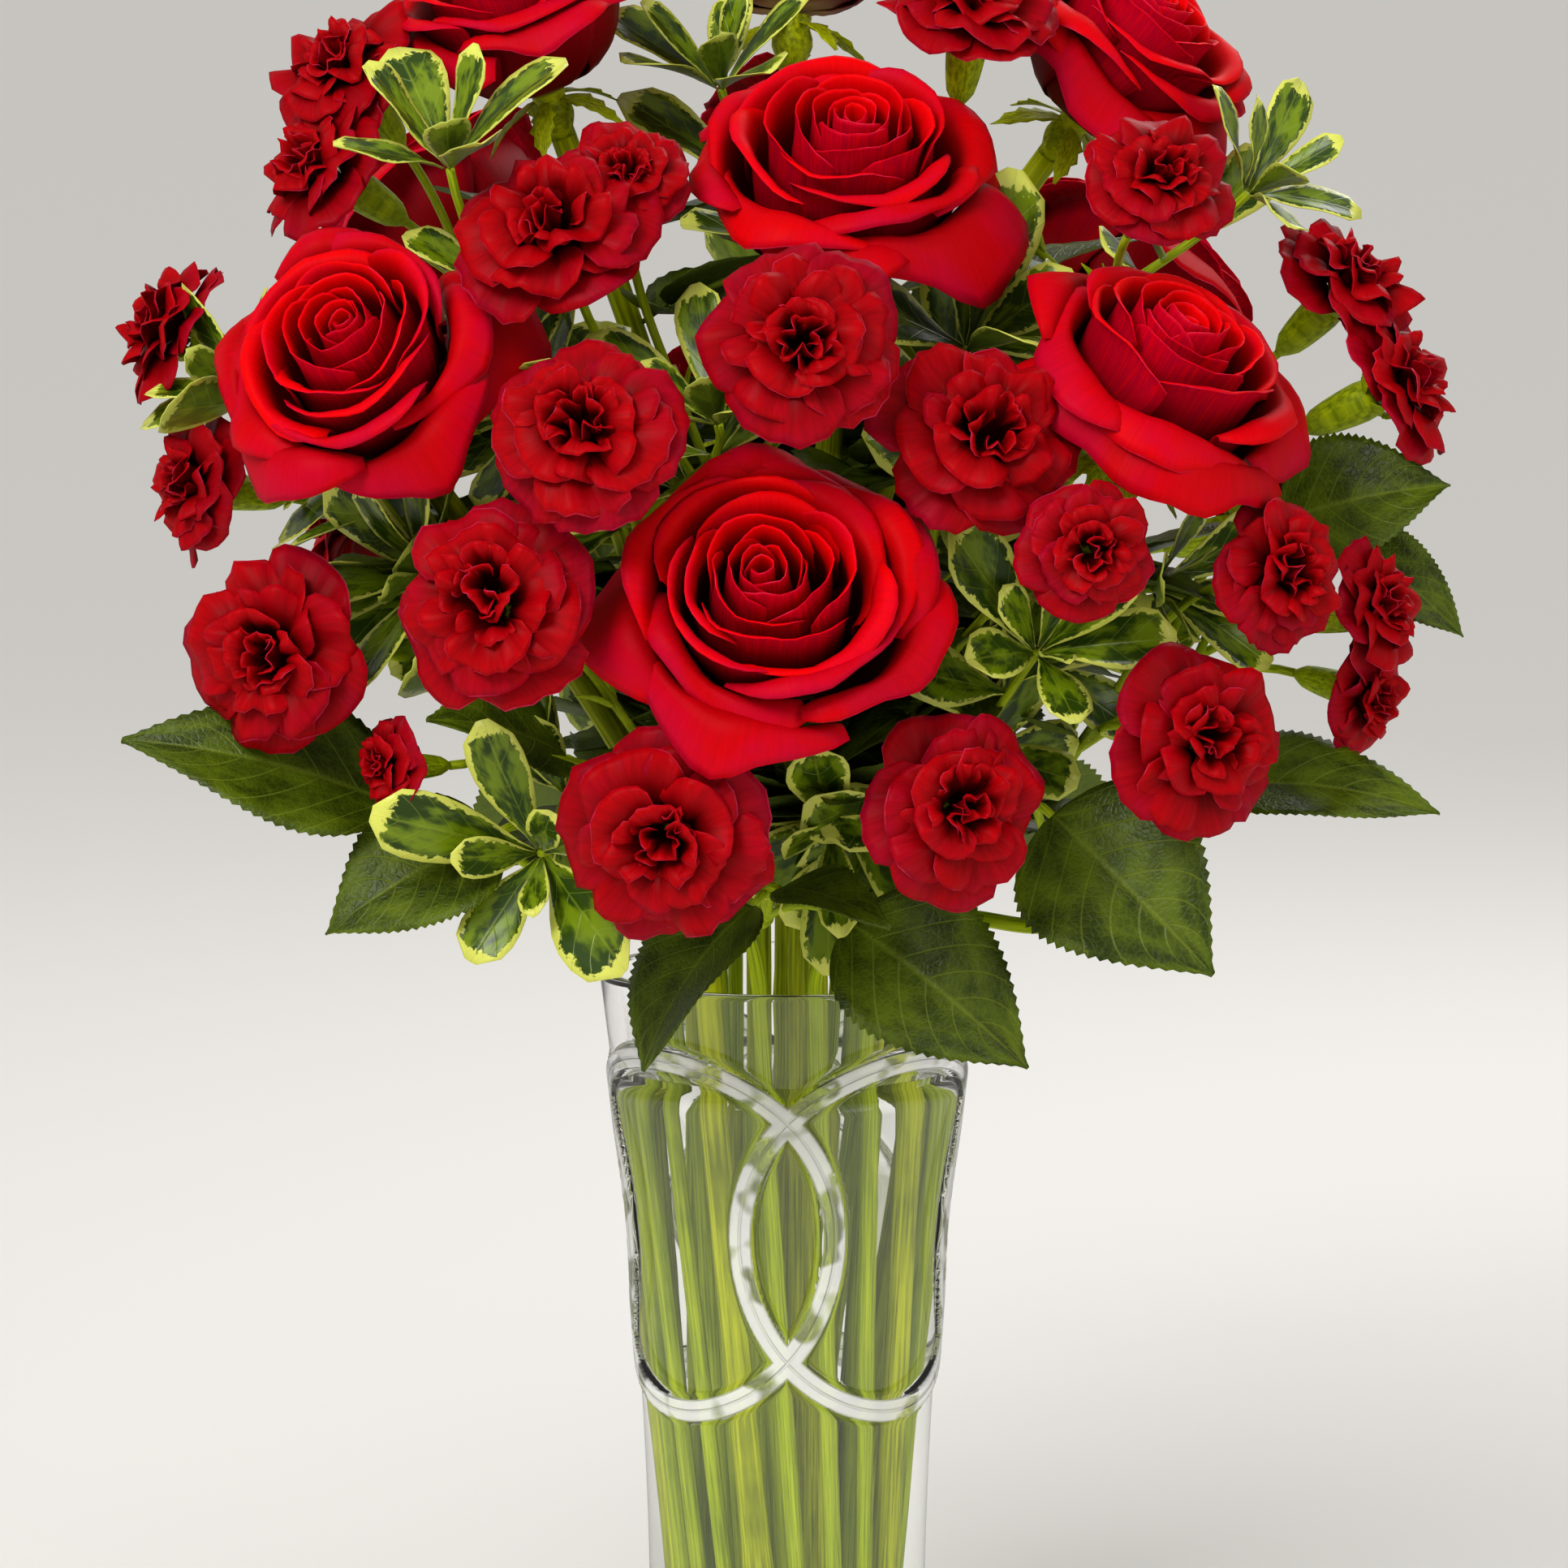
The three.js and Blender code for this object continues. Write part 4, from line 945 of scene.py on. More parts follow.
# The pairs are where one colour starts and ends to give way to the next: along the petal from claw to rim,
# over the streaks, or over the petal's tone. Two more numbers are the shares at those ends, where they aren't
# 0 and 1.
# The darkest red, which every petal takes from the claw up, is painted shade deep in the bloom.
petalLooks = {
    "both": {
        "litTone": (0.0, 0.45), "litAlong": (0.3, 0.95), "blushAlong": (0.6, 1.0),
        "blushStreaks": (0.42, 0.66, 0.0, 0.8), "blushTone": (0.1, 0.6, 1.0, 0.1), "backVeins": (0.3, 0.9),
        "backAlong": (0.2, 0.9), "backShare": 0.85, "rimHighlightShare": 0.75, "rimHighlightStreaks": (0.45, 0.7),
        "clawAlong": (0.0, 0.14, 0.8, 0.0), "veinEdges": (0.3, 0.7), "vein": "#3A0004", "veinLength": 3.0,
        "broadStreaks": (1.1, 1.6), "rimHighlightBreaks": (1.6, 0.5), "ior": 1.4, "bumpDepth": 0.4},
    # the pinkish rim colour is a painted highlight along the edge of each petal
    "rose": {
        "heart": "#700002", "face": "#EE0004", "outer": "#CC000C", "rim": "#F0305A", "back": "#B0002C",
        "blush": "#C00430", "claw": "#D9B48A", "rimHighlightStart": 0.985, "roughness": 0.5, "specular": 0.06,
        "veins": 34.0, "streak": 0.1, "bump": 0.05},
    "carnation": {
        "heart": "#480002", "face": "#B40008", "outer": "#A8000C", "rim": "#E8406E", "back": "#7C0012",
        "blush": "#A00426", "claw": "#B9C08A", "rimHighlightStart": 0.97, "roughness": 0.45, "specular": 0.08,
        "veins": 20.0, "streak": 0.25, "bump": 0.12},
}


# Living petal: a skin of tiny cone-shaped cells over faint veins, which scatter light so that it looks like
# velvet. Shade is painted in as a deep red from the claw up, where the petals lie deep in the bloom, and a
# painted highlight as a thin pinkish line along the rim.
def petalMaterial(name, plant):
    look = {**petalLooks["both"], **petalLooks[plant]}
    material, tree, marks = newMaterial(name, "along", "across", "side", "tone")
    along, tone = marks["along"], marks["tone"]
    veins = streaks(tree, marks, look["veins"], look["veinLength"])
    broadStreaks = streaks(tree, marks, *look["broadStreaks"])
    rimHighlightBreaks = streaks(tree, marks, *look["rimHighlightBreaks"])
    lit = coated(tree, look["outer"], (stepped(tree, (tone, *look["litTone"])), look["face"]))
    blush = stepped(
        tree, (along, *look["blushAlong"]), (broadStreaks, *look["blushStreaks"]), (tone, *look["blushTone"]))
    # painted shade: the darkest red from the claw up, where the petals sit in each other's cups
    front = coated(
        tree, look["heart"], (stepped(tree, (along, *look["litAlong"])), lit), (blush, look["blush"]))
    # the back face: a darker magenta-red, partly the petal's own tint and partly painted shade on the cups'
    # sides
    back = coated(tree, look["back"], (stepped(tree, (veins, *look["backVeins"])), look["face"]))
    # painted shade on the back face too, darkest towards the claw
    back = coated(tree, look["heart"], (stepped(tree, (along, *look["backAlong"])), back))
    backShare = addNode(tree, "Math", {0: marks["side"], 1: look["backShare"]}, operation="MULTIPLY")
    # painted highlight: a thin pinkish line along the very rim, broken into stretches by noise
    rim = stepped(
        tree, (along, look["rimHighlightStart"], 1.0, 0.0, look["rimHighlightShare"]), (rimHighlightBreaks, *look["rimHighlightStreaks"]))
    colour = coated(
        tree, front,
        (backShare, back),
        (rim, look["rim"]),
        (stepped(tree, (along, *look["clawAlong"])), look["claw"]),
        (stepped(tree, (veins, *look["veinEdges"], look["streak"], 0.0)), look["vein"]))
    inputs = {
        "Base Color": colour, "Roughness": look["roughness"], "IOR": look["ior"],
        "Specular IOR Level": look["specular"]}
    return finishMaterial(material, inputs, veins, look["bump"], look["bumpDepth"] * mm)


# net is the distance between the finest veins in millimetres, and duller is added to the roughness in places
leafLooks = {
    "both": {"ribWidth": 0.07, "veinBend": 1.2, "ior": 1.45, "bumpDepth": 0.3},
    "broad": {
        "dark": "#283602", "light": "#566804", "vein": "#8C9C2C", "back": "#647626", "backShare": 0.6,
        "blotches": (2.0, 4.0), "blotchEdges": (0.3, 0.7), "sideVeins": 7.0, "slant": 2.2,
        "veinWidth": 0.06, "veinShare": 0.28, "veinDepth": -2.5, "net": 1.6,
        "netLines": (0.0, 0.08, 0.1, 0.0), "netHeight": (0.0, 0.25), "roughness": 0.34, "duller": 0.14,
        "specular": 0.3, "bump": 0.3},
    "variegated": {
        "dark": "#2A4202", "light": "#748C08", "vein": "#96AC2C", "back": "#788C28", "backShare": 0.45,
        "blotches": (1.6, 3.0), "blotchEdges": (0.42, 0.62), "sideVeins": 6.0, "slant": 1.6,
        "veinWidth": 0.05, "veinShare": 0.35, "margin": "#DCE060", "marginEdges": (1.09, 1.15),
        "marginAlong": (0.6, 1.0), "marginStreaks": (5.0, 16.0, 4.0), "ragged": 0.6, "roughness": 0.3,
        "specular": 0.5, "bump": 0.35},
}


# Distance from the rib, and lines along it and along the side veins, which leave it where
# along * sideVeins - across^veinBend * slant is a whole number.
def veinLines(tree, marks, look):
    away = addNode(tree, "Math", {0: marks["across"]}, operation="ABSOLUTE")
    bent = addNode(tree, "Math", {0: away, 1: look["veinBend"]}, operation="POWER")
    rise = addNode(tree, "Math", {0: marks["along"], 1: look["sideVeins"]}, operation="MULTIPLY")
    fall = addNode(tree, "Math", {0: bent, 1: look["slant"]}, operation="MULTIPLY")
    place = addNode(tree, "Math", {0: rise, 1: fall}, operation="SUBTRACT")
    saw = addNode(tree, "Math", {0: place, 1: 0.5}, operation="PINGPONG")
    sideVein = stepped(tree, (saw, 0.0, look["veinWidth"], 1.0, 0.0))
    rib = stepped(tree, (away, 0.0, look["ribWidth"], 1.0, 0.0))
    return away, addNode(tree, "Math", {0: sideVein, 1: rib}, operation="MAXIMUM")


# Leathery leaf with a thin wax skin: dark green above with lighter blotches and paler sunken veins, and
# greyer below. The broad leaf has a fine net between its veins and dull places. The variegated one has a
# ragged cream-yellow margin, where the distance from the rib or from the foot, pushed in and out by streaks,
# is large.
def leafMaterial(name, plant):
    look = {**leafLooks["both"], **leafLooks[plant]}
    material, tree, marks = newMaterial(name, "along", "across", "side", "tone")
    away, veins = veinLines(tree, marks, look)
    blotches = streaks(tree, marks, *look["blotches"])
    coats = [(stepped(tree, (blotches, *look["blotchEdges"])), look["light"])]
    height, rough = veins, look["roughness"]
    if "net" in look:
        place = addNode(tree, "TexCoord", {}).outputs["Object"]
        cells = {"Vector": place, "Scale": 1 / (look["net"] * mm)}
        net = addNode(tree, "TexVoronoi", cells, feature="DISTANCE_TO_EDGE")
        coats.append((stepped(tree, (net, *look["netLines"])), look["vein"]))
        raised = stepped(tree, (net, *look["netHeight"]))
        sunken = addNode(tree, "Math", {0: veins, 1: look["veinDepth"]}, operation="MULTIPLY")
        height = addNode(tree, "Math", {0: raised, 1: sunken}, operation="ADD")
        rough = stepped(tree, (blotches, *look["blotchEdges"], rough, rough + look["duller"]))
    veinShare = addNode(tree, "Math", {0: veins, 1: look["veinShare"]}, operation="MULTIPLY")
    coats.append((veinShare, look["vein"]))
    if "margin" in look:
        end = stepped(tree, (marks["along"], *look["marginAlong"]))
        outward = addNode(tree, "Math", {0: away, 1: end}, operation="MAXIMUM")
        teeth = streaks(tree, marks, *look["marginStreaks"])
        ragged = addNode(tree, "Math", {0: teeth, 1: look["ragged"]}, operation="MULTIPLY")
        edge = addNode(tree, "Math", {0: outward, 1: ragged}, operation="ADD")
        coats.append((stepped(tree, (edge, *look["marginEdges"])), look["margin"]))
    backShare = addNode(tree, "Math", {0: marks["side"], 1: look["backShare"]}, operation="MULTIPLY")
    coats.append((backShare, look["back"]))
    inputs = {
        "Base Color": coated(tree, look["dark"], *coats), "Roughness": rough, "IOR": look["ior"],
        "Specular IOR Level": look["specular"]}
    return finishMaterial(material, inputs, height, look["bump"], look["bumpDepth"] * mm)


# waxPatch is the length of a patch of wax in millimetres, and duller is added to the roughness where it lies
stemLooks = {
    "both": {
        "fibres": (6.0, 9.0), "fibreEdges": (0.3, 0.7), "waxPatch": 12, "waxEdges": (0.4, 0.7, 0.0, 0.25),
        "dullEdges": (0.3, 0.7), "duller": 0.15, "specular": 0.15, "bump": 0.3, "bumpDepth": 0.3},
    "rose": {"dark": "#727E00", "light": "#C8D200", "wax": "#CCD41C", "roughness": 0.45},
    "carnation": {"dark": "#748A00", "light": "#B6C804", "wax": "#B8C438", "roughness": 0.5},
}


# Green stem: smooth skin with long pale fibres under it, and patches of wax that dull the shine.
def stemMaterial(name, plant):
    look = {**stemLooks["both"], **stemLooks[plant]}
    material, tree, marks = newMaterial(name, "along", "across", "tone")
    fibres = streaks(tree, marks, *look["fibres"])
    wax = patchy(tree, look["waxPatch"], detail=2.0)
    colour = coated(
        tree, look["dark"],
        (stepped(tree, (fibres, *look["fibreEdges"])), look["light"]),
        (stepped(tree, (wax, *look["waxEdges"])), look["wax"]))
    rough = stepped(tree, (wax, *look["dullEdges"], look["roughness"], look["roughness"] + look["duller"]))
    inputs = {"Base Color": colour, "Roughness": rough, "Specular IOR Level": look["specular"]}
    return finishMaterial(material, inputs, fibres, look["bump"], look["bumpDepth"] * mm)


# distances from the middle of a band, heights, and the sizes of ripples and of patches of painted reflection,
# in millimetres
glassLook = {
    "colour": "#FFFFFF", "ior": 1.5, "topEdge": (2.35, 2.75), "topHeight": 0.45, "groove": 0.55,
    "grooveDepth": 0.45, "ripple": 22, "rippleHeight": 0.06, "bandEdge": (2.5, 2.9), "reflectionPatch": 9,
    "reflectionEdges": (0.38, 0.5), "reflectionShare": (0.1, 0.72), "roughness": 0.015, "bandRoughness": 0.12,
}


# Pressed soda-lime glass, fire-polished: clear and sharp, with the faintest ripple left by the mould. The
# raised bands have a crisp edge and a groove along the middle, and along them stretches of painted
# reflection, where the glass is partly white and less clear.
def glassMaterial():
    look = glassLook
    material, tree, marks = newMaterial("soda_lime_glass_pressed", "bandA", "bandB")
    away = [addNode(tree, "Math", {0: mark}, operation="ABSOLUTE") for mark in marks.values()]
    nearest = addNode(tree, "Math", {0: away[0], 1: away[1]}, operation="MINIMUM")
    top = stepped(tree, (nearest, *look["topEdge"], look["topHeight"], 0.0))
    groove = stepped(tree, (nearest, 0.0, look["groove"], -look["grooveDepth"], 0.0))
    waves = patchy(tree, look["ripple"], detail=1.0)
    ripple = addNode(tree, "Math", {0: waves, 1: look["rippleHeight"]}, operation="MULTIPLY")
    pressed = addNode(tree, "Math", {0: top, 1: groove}, operation="ADD")
    height = addNode(tree, "Math", {0: pressed, 1: ripple}, operation="ADD")
    band = stepped(tree, (nearest, *look["bandEdge"], 1.0, 0.0))
    # painted reflection: in stretches along the bands the glass turns partly white and less clear
    patches = patchy(tree, look["reflectionPatch"], detail=1.0)
    reflectionStretches = stepped(tree, (patches, *look["reflectionEdges"], *look["reflectionShare"]))
    paintedReflection = addNode(tree, "Math", {0: band, 1: reflectionStretches}, operation="MULTIPLY")
    clear = addNode(tree, "Math", {0: 1.0, 1: paintedReflection}, operation="SUBTRACT")
    rough = stepped(tree, (band, 0.0, 1.0, look["roughness"], look["bandRoughness"]))
    inputs = {
        "Base Color": look["colour"], "Roughness": rough, "IOR": look["ior"], "Transmission Weight": clear}
    return finishMaterial(material, inputs, height)


waterLook = {"colour": "#FEFFFC", "ior": 1.333, "ripple": 30, "rippleDepth": 0.5, "bump": 0.02}


# Still tap water: clear and smooth, with the faintest green from the stems.
def waterMaterial():
    look = waterLook
    material, tree = newMaterial("still_water")[:2]
    inputs = {
        "Base Color": look["colour"], "Roughness": 0.0, "IOR": look["ior"], "Transmission Weight": 1.0}
    ripple = patchy(tree, look["ripple"], detail=0.0)
    return finishMaterial(material, inputs, ripple, look["bump"], look["rippleDepth"] * mm)


glass = glassMaterial()
water = waterMaterial()
rosePetal = petalMaterial("rose_petal_velvet", "rose")
carnationPetal = petalMaterial("carnation_petal_velvet", "carnation")
roseGreen = stemMaterial("rose_stem_skin", "rose")
carnationGreen = stemMaterial("carnation_stem_waxed", "carnation")
broadLeaf = leafMaterial("broad_leaf_waxed", "broad")
variegatedLeaf = leafMaterial("variegated_leaf_waxed", "variegated")
print("materials ready:", len(bpy.data.materials))

# light passes through clear glass and water, so these two keep neither lamps nor the room off the stems
for clearPiece in (makeVase(glass), makeWater(water)):
    clearPiece.visible_shadow = False
    clearPiece.visible_diffuse = False
print("vase and water ready")

# the swelling under a rose: radii at depths below the petals, those past stemBelow keeping the stem's size
hipForm = {
    "sides": 14, "depth": 14, "stemBelow": 11, "tone": 0.5, "below": (14, 12, 10, 8, 6, 4, 2.5, 1.2, 0.4),
    "radii": (3.2, 3.6, 4.6, 5.3, 5.2, 4.6, 4.4, 4.8, 4.9),
}
sepalForm = {
    "count": 5, "turn": 56, "foot": 3.5, "footUp": -2.4, "reach": 21, "drop": -13, "width": 7, "rows": 10,
    "columns": 5, "thickness": 0.5, "curves": {"bow": 0.3, "fold": 0.15, "tooth": 0.16, "wave": 0.3},
}


# the stem, its hip, and sepals that run from (foot, footUp) to (reach, drop) all round, in the bloom's frame
def roseStem(path, base, direction, turn, size, seed):
    draw = np.random.default_rng(seed)
    knots = draw.uniform(*stemForm["roseKnots"], 2)
    radius = knottedRadius(path, stemForm["roseRadius"], knots)
    patches = [bar(path, radius, stemForm["roseSides"], draw.uniform())]
    below = np.array(hipForm["below"]) * size
    swell = np.array(hipForm["radii"]) * np.where(below > hipForm["stemBelow"], 1, size)
    patches.append(bar(base - direction * below[:, None], swell, hipForm["sides"], hipForm["tone"]))
    form = sepalForm
    for i in range(form["count"]):
        outward = levelAt(math.radians(form["turn"] + i * 360 / form["count"]))
        start = (outward * form["foot"] + np.array([0, 0, form["footUp"]])) * size
        tip = (outward * form["reach"] + np.array([0, 0, form["drop"]])) * size
        sepal = leafBetween(
            start, tip, form["width"] * size, "strap", form, bladeAxes(start, tip), phase=i,
            tone=draw.uniform(), **form["curves"])
        patches.append(moved(sepal, base, turn))
    return patches


# rose leaves at even steps up the part of a stem that is clear of the vase
def leavesUp(path, seed):
    draw = np.random.default_rng(seed)
    free = path[path[:, 2] > spaceForm["low"] + compoundForm["aboveVase"]]
    steps = np.linspace(0, len(free) * compoundForm["stemShare"], compoundForm["count"]).astype(int)
    return [patch for place in free[steps] for patch in compoundLeaf(place, draw)]


leafParts = 0
for index, rose in enumerate(roses):
    direction = directionOf(rose["facing"])
    size = rose["width"] / roseForm["fullWidth"]
    base = np.array(rose["at"], float) - direction * roseForm["faceHeight"] * size
    turn = turnTo(direction, rose["spin"])
    hipFoot = base - direction * hipForm["depth"] * size
    path = stemRoute(rose["slot"], hipFoot, direction, stemForm["roseRows"])
    petals = bloomOf(roseForm, rose["width"], seeds["rose"] + index, varyRose)
    petals = [moved(petal, base, turn) for petal in petals]
    stem = roseStem(path, base, direction, turn, size, seeds["roseStem"] + index)
    leaves = leavesUp(path, seeds["roseLeaves"] + index)
    leafParts += len(leaves)
    makePiece("petals_rose_" + rose["name"], petals, rosePetal, "rose_petal", "rose_bloom_" + rose["name"])
    makePiece("stem_rose_" + rose["name"], stem, roseGreen, "rose_stem", "rose_stem_" + rose["name"])
    makePiece("leaves_rose_" + rose["name"], leaves, broadLeaf, "broad_leaf")
print("roses ready:", len(roses), "with", leafParts, "leaf parts")

# the tube's radii at depths below the bloom, and teeth that start at toothFoot and point to toothTip, both
# (outward, up)
calyxForm = {
    "length": 20, "below": (20, 18, 16, 13, 10, 7, 4, 2, 0.35),
    "radii": (1.1, 2.4, 3.5, 4.1, 4.5, 4.8, 5, 4.8, 4.5), "sides": 15, "tone": 0.7, "larger": 0.12,
    "branchRows": 14, "branchAim": 0.6, "leavesAt": 6, "teeth": 5, "toothFoot": (4.3, -1.4),
    "toothTip": (6.6, 1.2), "toothLength": 4.5, "toothWidth": 4.6, "rows": 5, "columns": 5,
    "thickness": 0.4, "curves": {"fold": -0.15, "tone": 0.8},
}
# atFork and atBranch are the length and width of the leaves there
pairForm = {
    "foot": 0.8, "spread": (0.45, 0.8), "stray": 0.2, "rise": 0.8, "bow": (0.1, 0.3), "fold": 0.35, "rows": 9,
    "columns": 5, "thickness": 0.5, "atFork": (30, 3.4), "atBranch": (15, 2.6),
}


# the joint where a plant forks, the direction that its stem rises in, and the start of its branches
def forkOf(plant):
    joint = np.array(plant["joint"], float)
    rising = unit(joint - neckPoint(plant["slot"]))
    return joint, rising, joint - rising * stemForm["forkBelow"]


# two narrow leaves that stand opposite each other on a stem, from foot beside it to
# length * (spread, stray, rise) in its frame
def leafPair(at, direction, size, around, draw):
    form = pairForm
    length, width = size
    patches = []
    turn = turnTo(direction, around)
    for side in (-1, 1):
        start = at + turn @ np.array([side * form["foot"], 0, 0])
        spread = side * draw.uniform(*form["spread"])
        stray = draw.uniform(-form["stray"], form["stray"])
        tip = at + turn @ (np.array([spread, stray, form["rise"]]) * length)
        patches.append(leafBetween(
            start, tip, width, "strap", form, bladeFacing(start, tip, direction),
            bow=draw.uniform(*form["bow"]), fold=form["fold"], tone=draw.uniform()))
    return patches


# a branch from the fork, its pair of leaves, the tubular calyx under a head and the teeth round its mouth
def calyx(fork, rising, head, draw):
    form = calyxForm
    at, facing, width = head[1:]
    direction = directionOf(facing)
    size = width / carnationForm["fullWidth"]
    cupSize = min(1, size + form["larger"])
    mouth = np.array(at, float) - direction * carnationForm["faceHeight"] * size
    cupFoot = mouth - direction * form["length"] * cupSize
    towards = unit(unit(cupFoot - fork) * form["branchAim"] + rising * (1 - form["branchAim"]))
    path = bend(fork, towards, cupFoot, direction, form["branchRows"])
    patches = [bar(path, stemForm["twigRadius"], stemForm["twigSides"], draw.uniform())]
    below = np.array(form["below"]) * cupSize
    radii = np.array(form["radii"]) * cupSize
    patches.append(bar(mouth - direction * below[:, None], radii, form["sides"], form["tone"]))
    middle = form["leavesAt"]
    along = unit(path[middle + 1] - path[middle - 1])
    patches += leafPair(path[middle], along, pairForm["atBranch"], draw.uniform(0, 180), draw)
    turn = turnTo(direction)
    for i in range(form["teeth"]):
        outward = levelAt(math.radians(i * 360 / form["teeth"]))
        start, end = (
            (outward * out + np.array([0, 0, up])) * cupSize
            for out, up in (form["toothFoot"], form["toothTip"]))
        tip = start + unit(end - start) * form["toothLength"] * cupSize
        tooth = leafBetween(
            start, tip, form["toothWidth"] * cupSize, "pointed", form, bladeFacing(start, tip, -outward),
            **form["curves"])
        patches.append(moved(tooth, mouth, turn))
    return patches


heads = {}
for sprayIndex, spray in enumerate(sprays):
    draw = np.random.default_rng(seeds["spray"] + sprayIndex)
    joint, rising, fork = forkOf(spray)
    path = stemRoute(spray["slot"], joint, rising, stemForm["sprayRows"])
    radius = knottedRadius(path, stemForm["sprayRadius"], stemForm["sprayKnots"])
    patches = [bar(path, radius, stemForm["spraySides"], draw.uniform())]
    patches += leafPair(joint, rising, pairForm["atFork"], draw.uniform(0, 180), draw)
    for headIndex, head in enumerate(spray["heads"]):
        patches += calyx(fork, rising, head, draw)
        bloom, at, facing, width = head
        direction = directionOf(facing)
        size = width / carnationForm["fullWidth"]
        foot = np.array(at, float) - direction * carnationForm["faceHeight"] * size
        seed = seeds["carnation"] + sprayIndex * seeds["perSpray"] + headIndex
        petals = bloomOf(carnationForm, width, seed, varyCarnation)
        heads.setdefault(bloom, []).extend(moved(petal, foot, turnTo(direction)) for petal in petals)
    node = "carnation_stem_" + spray["name"]
    makePiece("stem_spray_" + spray["name"], patches, carnationGreen, "carnation_stem", node)
for bloom, petals in heads.items():
    makePiece("petals_carnation_" + bloom, petals, carnationPetal, "carnation_petal", "carnation_" + bloom)
print("carnations ready:", len(heads), "blooms")

sprigForm = {"stemTone": 0.3, "twigTone": 0.7, "twigRows": 16}

for sprigIndex, sprig in enumerate(sprigs):
    joint, rising, fork = forkOf(sprig)
    path = stemRoute(sprig["slot"], joint, rising, stemForm["sprayRows"])
    stems = [bar(path, stemForm["sprayRadius"], stemForm["spraySides"], sprigForm["stemTone"])]
    patches = []
    for tipIndex, tip in enumerate(sprig["tips"]):
        direction = directionOf(tip[1])
        twig = bend(fork, rising, np.array(tip[0], float), direction, sprigForm["twigRows"])
        stems.append(bar(twig, stemForm["twigRadius"], stemForm["twigSides"], sprigForm["twigTone"]))
        patches += whorl(tip, twig, seeds["whorl"] + sprigIndex * seeds["perSprig"] + tipIndex)
    node = "variegated_sprig_" + sprig["name"]
    makePiece("leaves_variegated_" + sprig["name"], patches, variegatedLeaf, "variegated_leaf", node)
    makePiece("stem_variegated_" + sprig["name"], stems, carnationGreen, "variegated_leaf", node)
print("variegated sprigs ready:", len(sprigs))

branchForm = {
    "rows": 49, "columns": 13, "thickness": 0.6, "stemTone": 0.3, "stalkTone": 0.7, "stalkRows": 14,
    "curves": {"bow": 0.3, "fold": 0.22, "tooth": 0.028, "wave": 0.8},
}

for branchIndex, branch in enumerate(branches):
    form = branchForm
    joint, rising, fork = forkOf(branch)
    path = stemRoute(branch["slot"], joint, rising, stemForm["sprayRows"])
    stems = [bar(path, stemForm["sprayRadius"], stemForm["spraySides"], form["stemTone"])]
    patches = []
    draw = np.random.default_rng(seeds["branch"] + branchIndex)
    for start, tip, width, roll in branch["leaves"]:
        start, tip = np.array(start, float), np.array(tip, float)
        stalk = bend(fork, rising, start, unit(tip - start), form["stalkRows"])
        stems.append(bar(stalk, stemForm["twigRadius"], stemForm["twigSides"], form["stalkTone"]))
        patches.append(leafBetween(
            start, tip, width, "pointed", form, bladeAxes(start, tip, roll), phase=draw.uniform(*anyPhase),
            tone=draw.uniform(), **form["curves"]))
    node = "broadleaf_branch_" + branch["name"]
    makePiece("leaves_broad_" + branch["name"], patches, broadLeaf, "broad_leaf", node)
    makePiece("stem_broad_" + branch["name"], stems, carnationGreen, "broad_leaf", node)
print("broad-leaved branches ready:", len(branches))

# sizes in metres from here on
stageForm = {
    "half": 300.0, "floor": "#EFEDE9", "floorRoughness": 0.8, "world": "#EEECE8", "worldStrength": 0.44,
    "ceiling": 1.2, "ceilingAngle": 60, "ceilingTurn": (30, -20, 0),
}
lamps = [
    {"name": "key", "at": (-0.75, -1.25, 1.25), "size": 0.7, "power": 13},
    {"name": "fill", "at": (1.3, -1.1, 0.8), "size": 0.9, "power": 5},
    {"name": "back", "at": (0.5, 1.1, 1.2), "size": 0.8, "power": 6},
]
viewForm = {
    "distance": 1.6, "target": (-0.0008, 0.0, 0.2358), "above": 7.0, "lens": 149.07, "sensor": 36.0,
    "far": 1000,
}
scene = bpy.context.scene


# Matte wall paint, rolled on: even and without a gloss.
def floorMaterial():
    inputs = {"Base Color": stageForm["floor"], "Roughness": stageForm["floorRoughness"]}
    return finishMaterial(newMaterial("floor_matte_paint")[0], inputs)


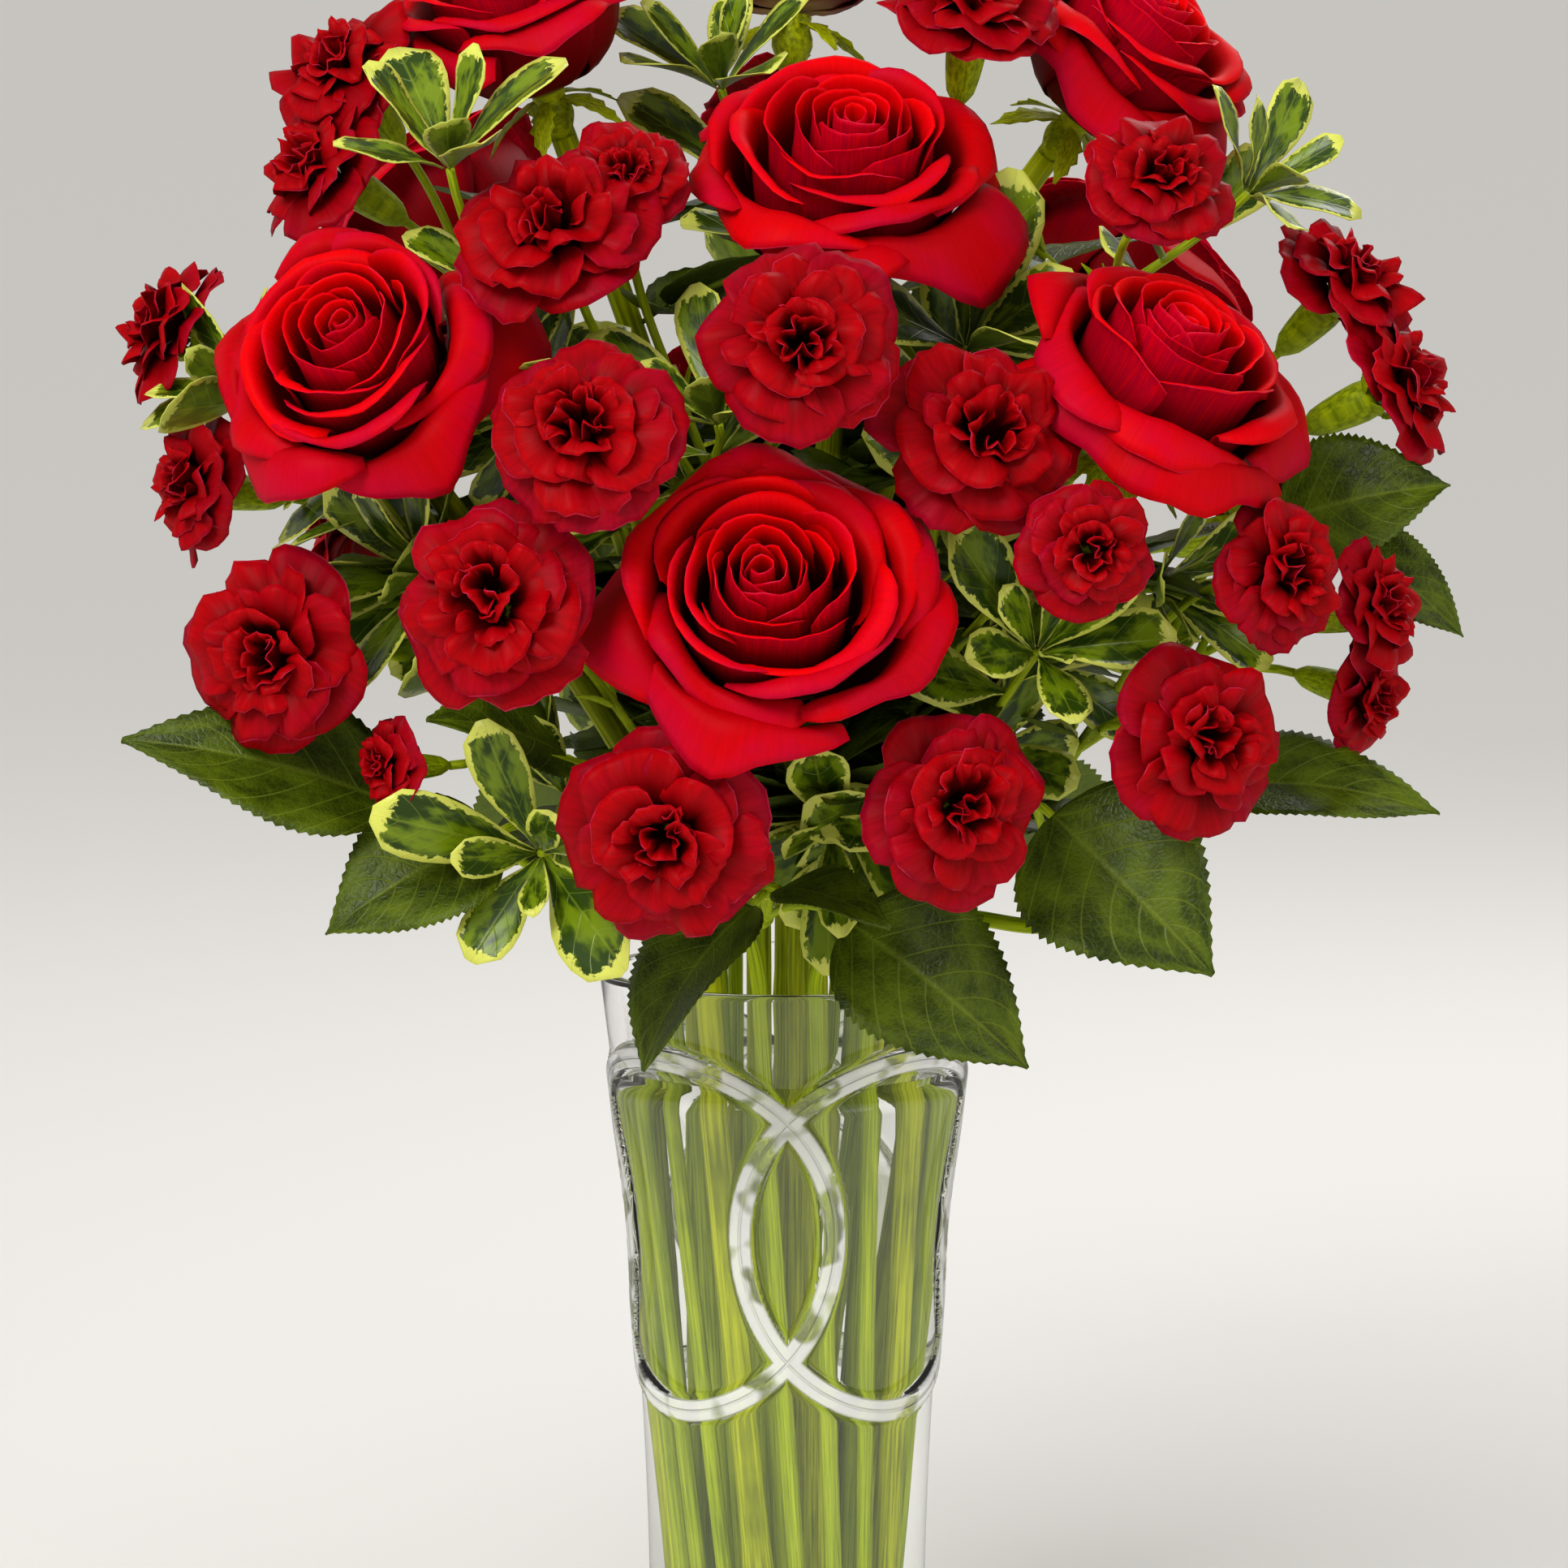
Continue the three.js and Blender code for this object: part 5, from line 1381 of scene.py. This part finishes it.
# puts a lamp, camera or mesh in the scene
def addObject(name, data, at=(0, 0, 0), turn=(0, 0, 0)):
    thing = bpy.data.objects.new(name, data)
    thing.location = at
    thing.rotation_euler = turn
    scene.collection.objects.link(thing)
    return thing


half = stageForm["half"]
floorMesh = bpy.data.meshes.new("floor")
corners = [(-half, -half, 0), (half, -half, 0), (half, half, 0), (-half, half, 0)]
floorMesh.from_pydata(corners, [], [(0, 1, 2, 3)])
floorMesh.materials.append(floorMaterial())
floor = addObject("floor", floorMesh)
floor.visible_glossy = False  # a pale floor would veil the glass and the petals

world = bpy.data.worlds.new("studio")
scene.world = world
world.use_nodes = True
background = world.node_tree.nodes["Background"]
background.inputs["Color"].default_value = hexColour(stageForm["world"])
background.inputs["Strength"].default_value = stageForm["worldStrength"]

target = np.array(viewForm["target"])
for lamp in lamps:
    light = bpy.data.lights.new(lamp["name"], "AREA")
    light.shape = "DISK"
    light.size = lamp["size"]
    light.energy = lamp["power"]
    aim = Vector(target - lamp["at"]).to_track_quat("-Z", "Y").to_euler()
    addObject(lamp["name"], light, lamp["at"], aim)
daylight = bpy.data.lights.new("ceiling", "SUN")
daylight.energy = stageForm["ceiling"]
daylight.angle = math.radians(stageForm["ceilingAngle"])
ceiling = addObject("ceiling", daylight, turn=[math.radians(turn) for turn in stageForm["ceilingTurn"]])
ceiling.visible_glossy = False  # its wide disc would veil the glass

camera = bpy.data.cameras.new("camera")
camera.lens = viewForm["lens"]
camera.sensor_width = viewForm["sensor"]
camera.clip_end = viewForm["far"]
above = math.radians(viewForm["above"])
eye = target + viewForm["distance"] * np.array([0, -math.cos(above), math.sin(above)])
scene.camera = addObject("camera", camera, eye, (math.pi / 2 - above, 0, 0))
scene.view_settings.view_transform = "Standard"
print("stage ready")

counts = {}
for piece in bpy.data.objects:
    if piece.type == "MESH":
        piece.data.calc_loop_triangles()
        counts[piece.name] = len(piece.data.loop_triangles)
largest = max(counts, key=counts.get)
print("objects:", len(counts), "triangles:", sum(counts.values()), "largest:", largest, counts[largest])
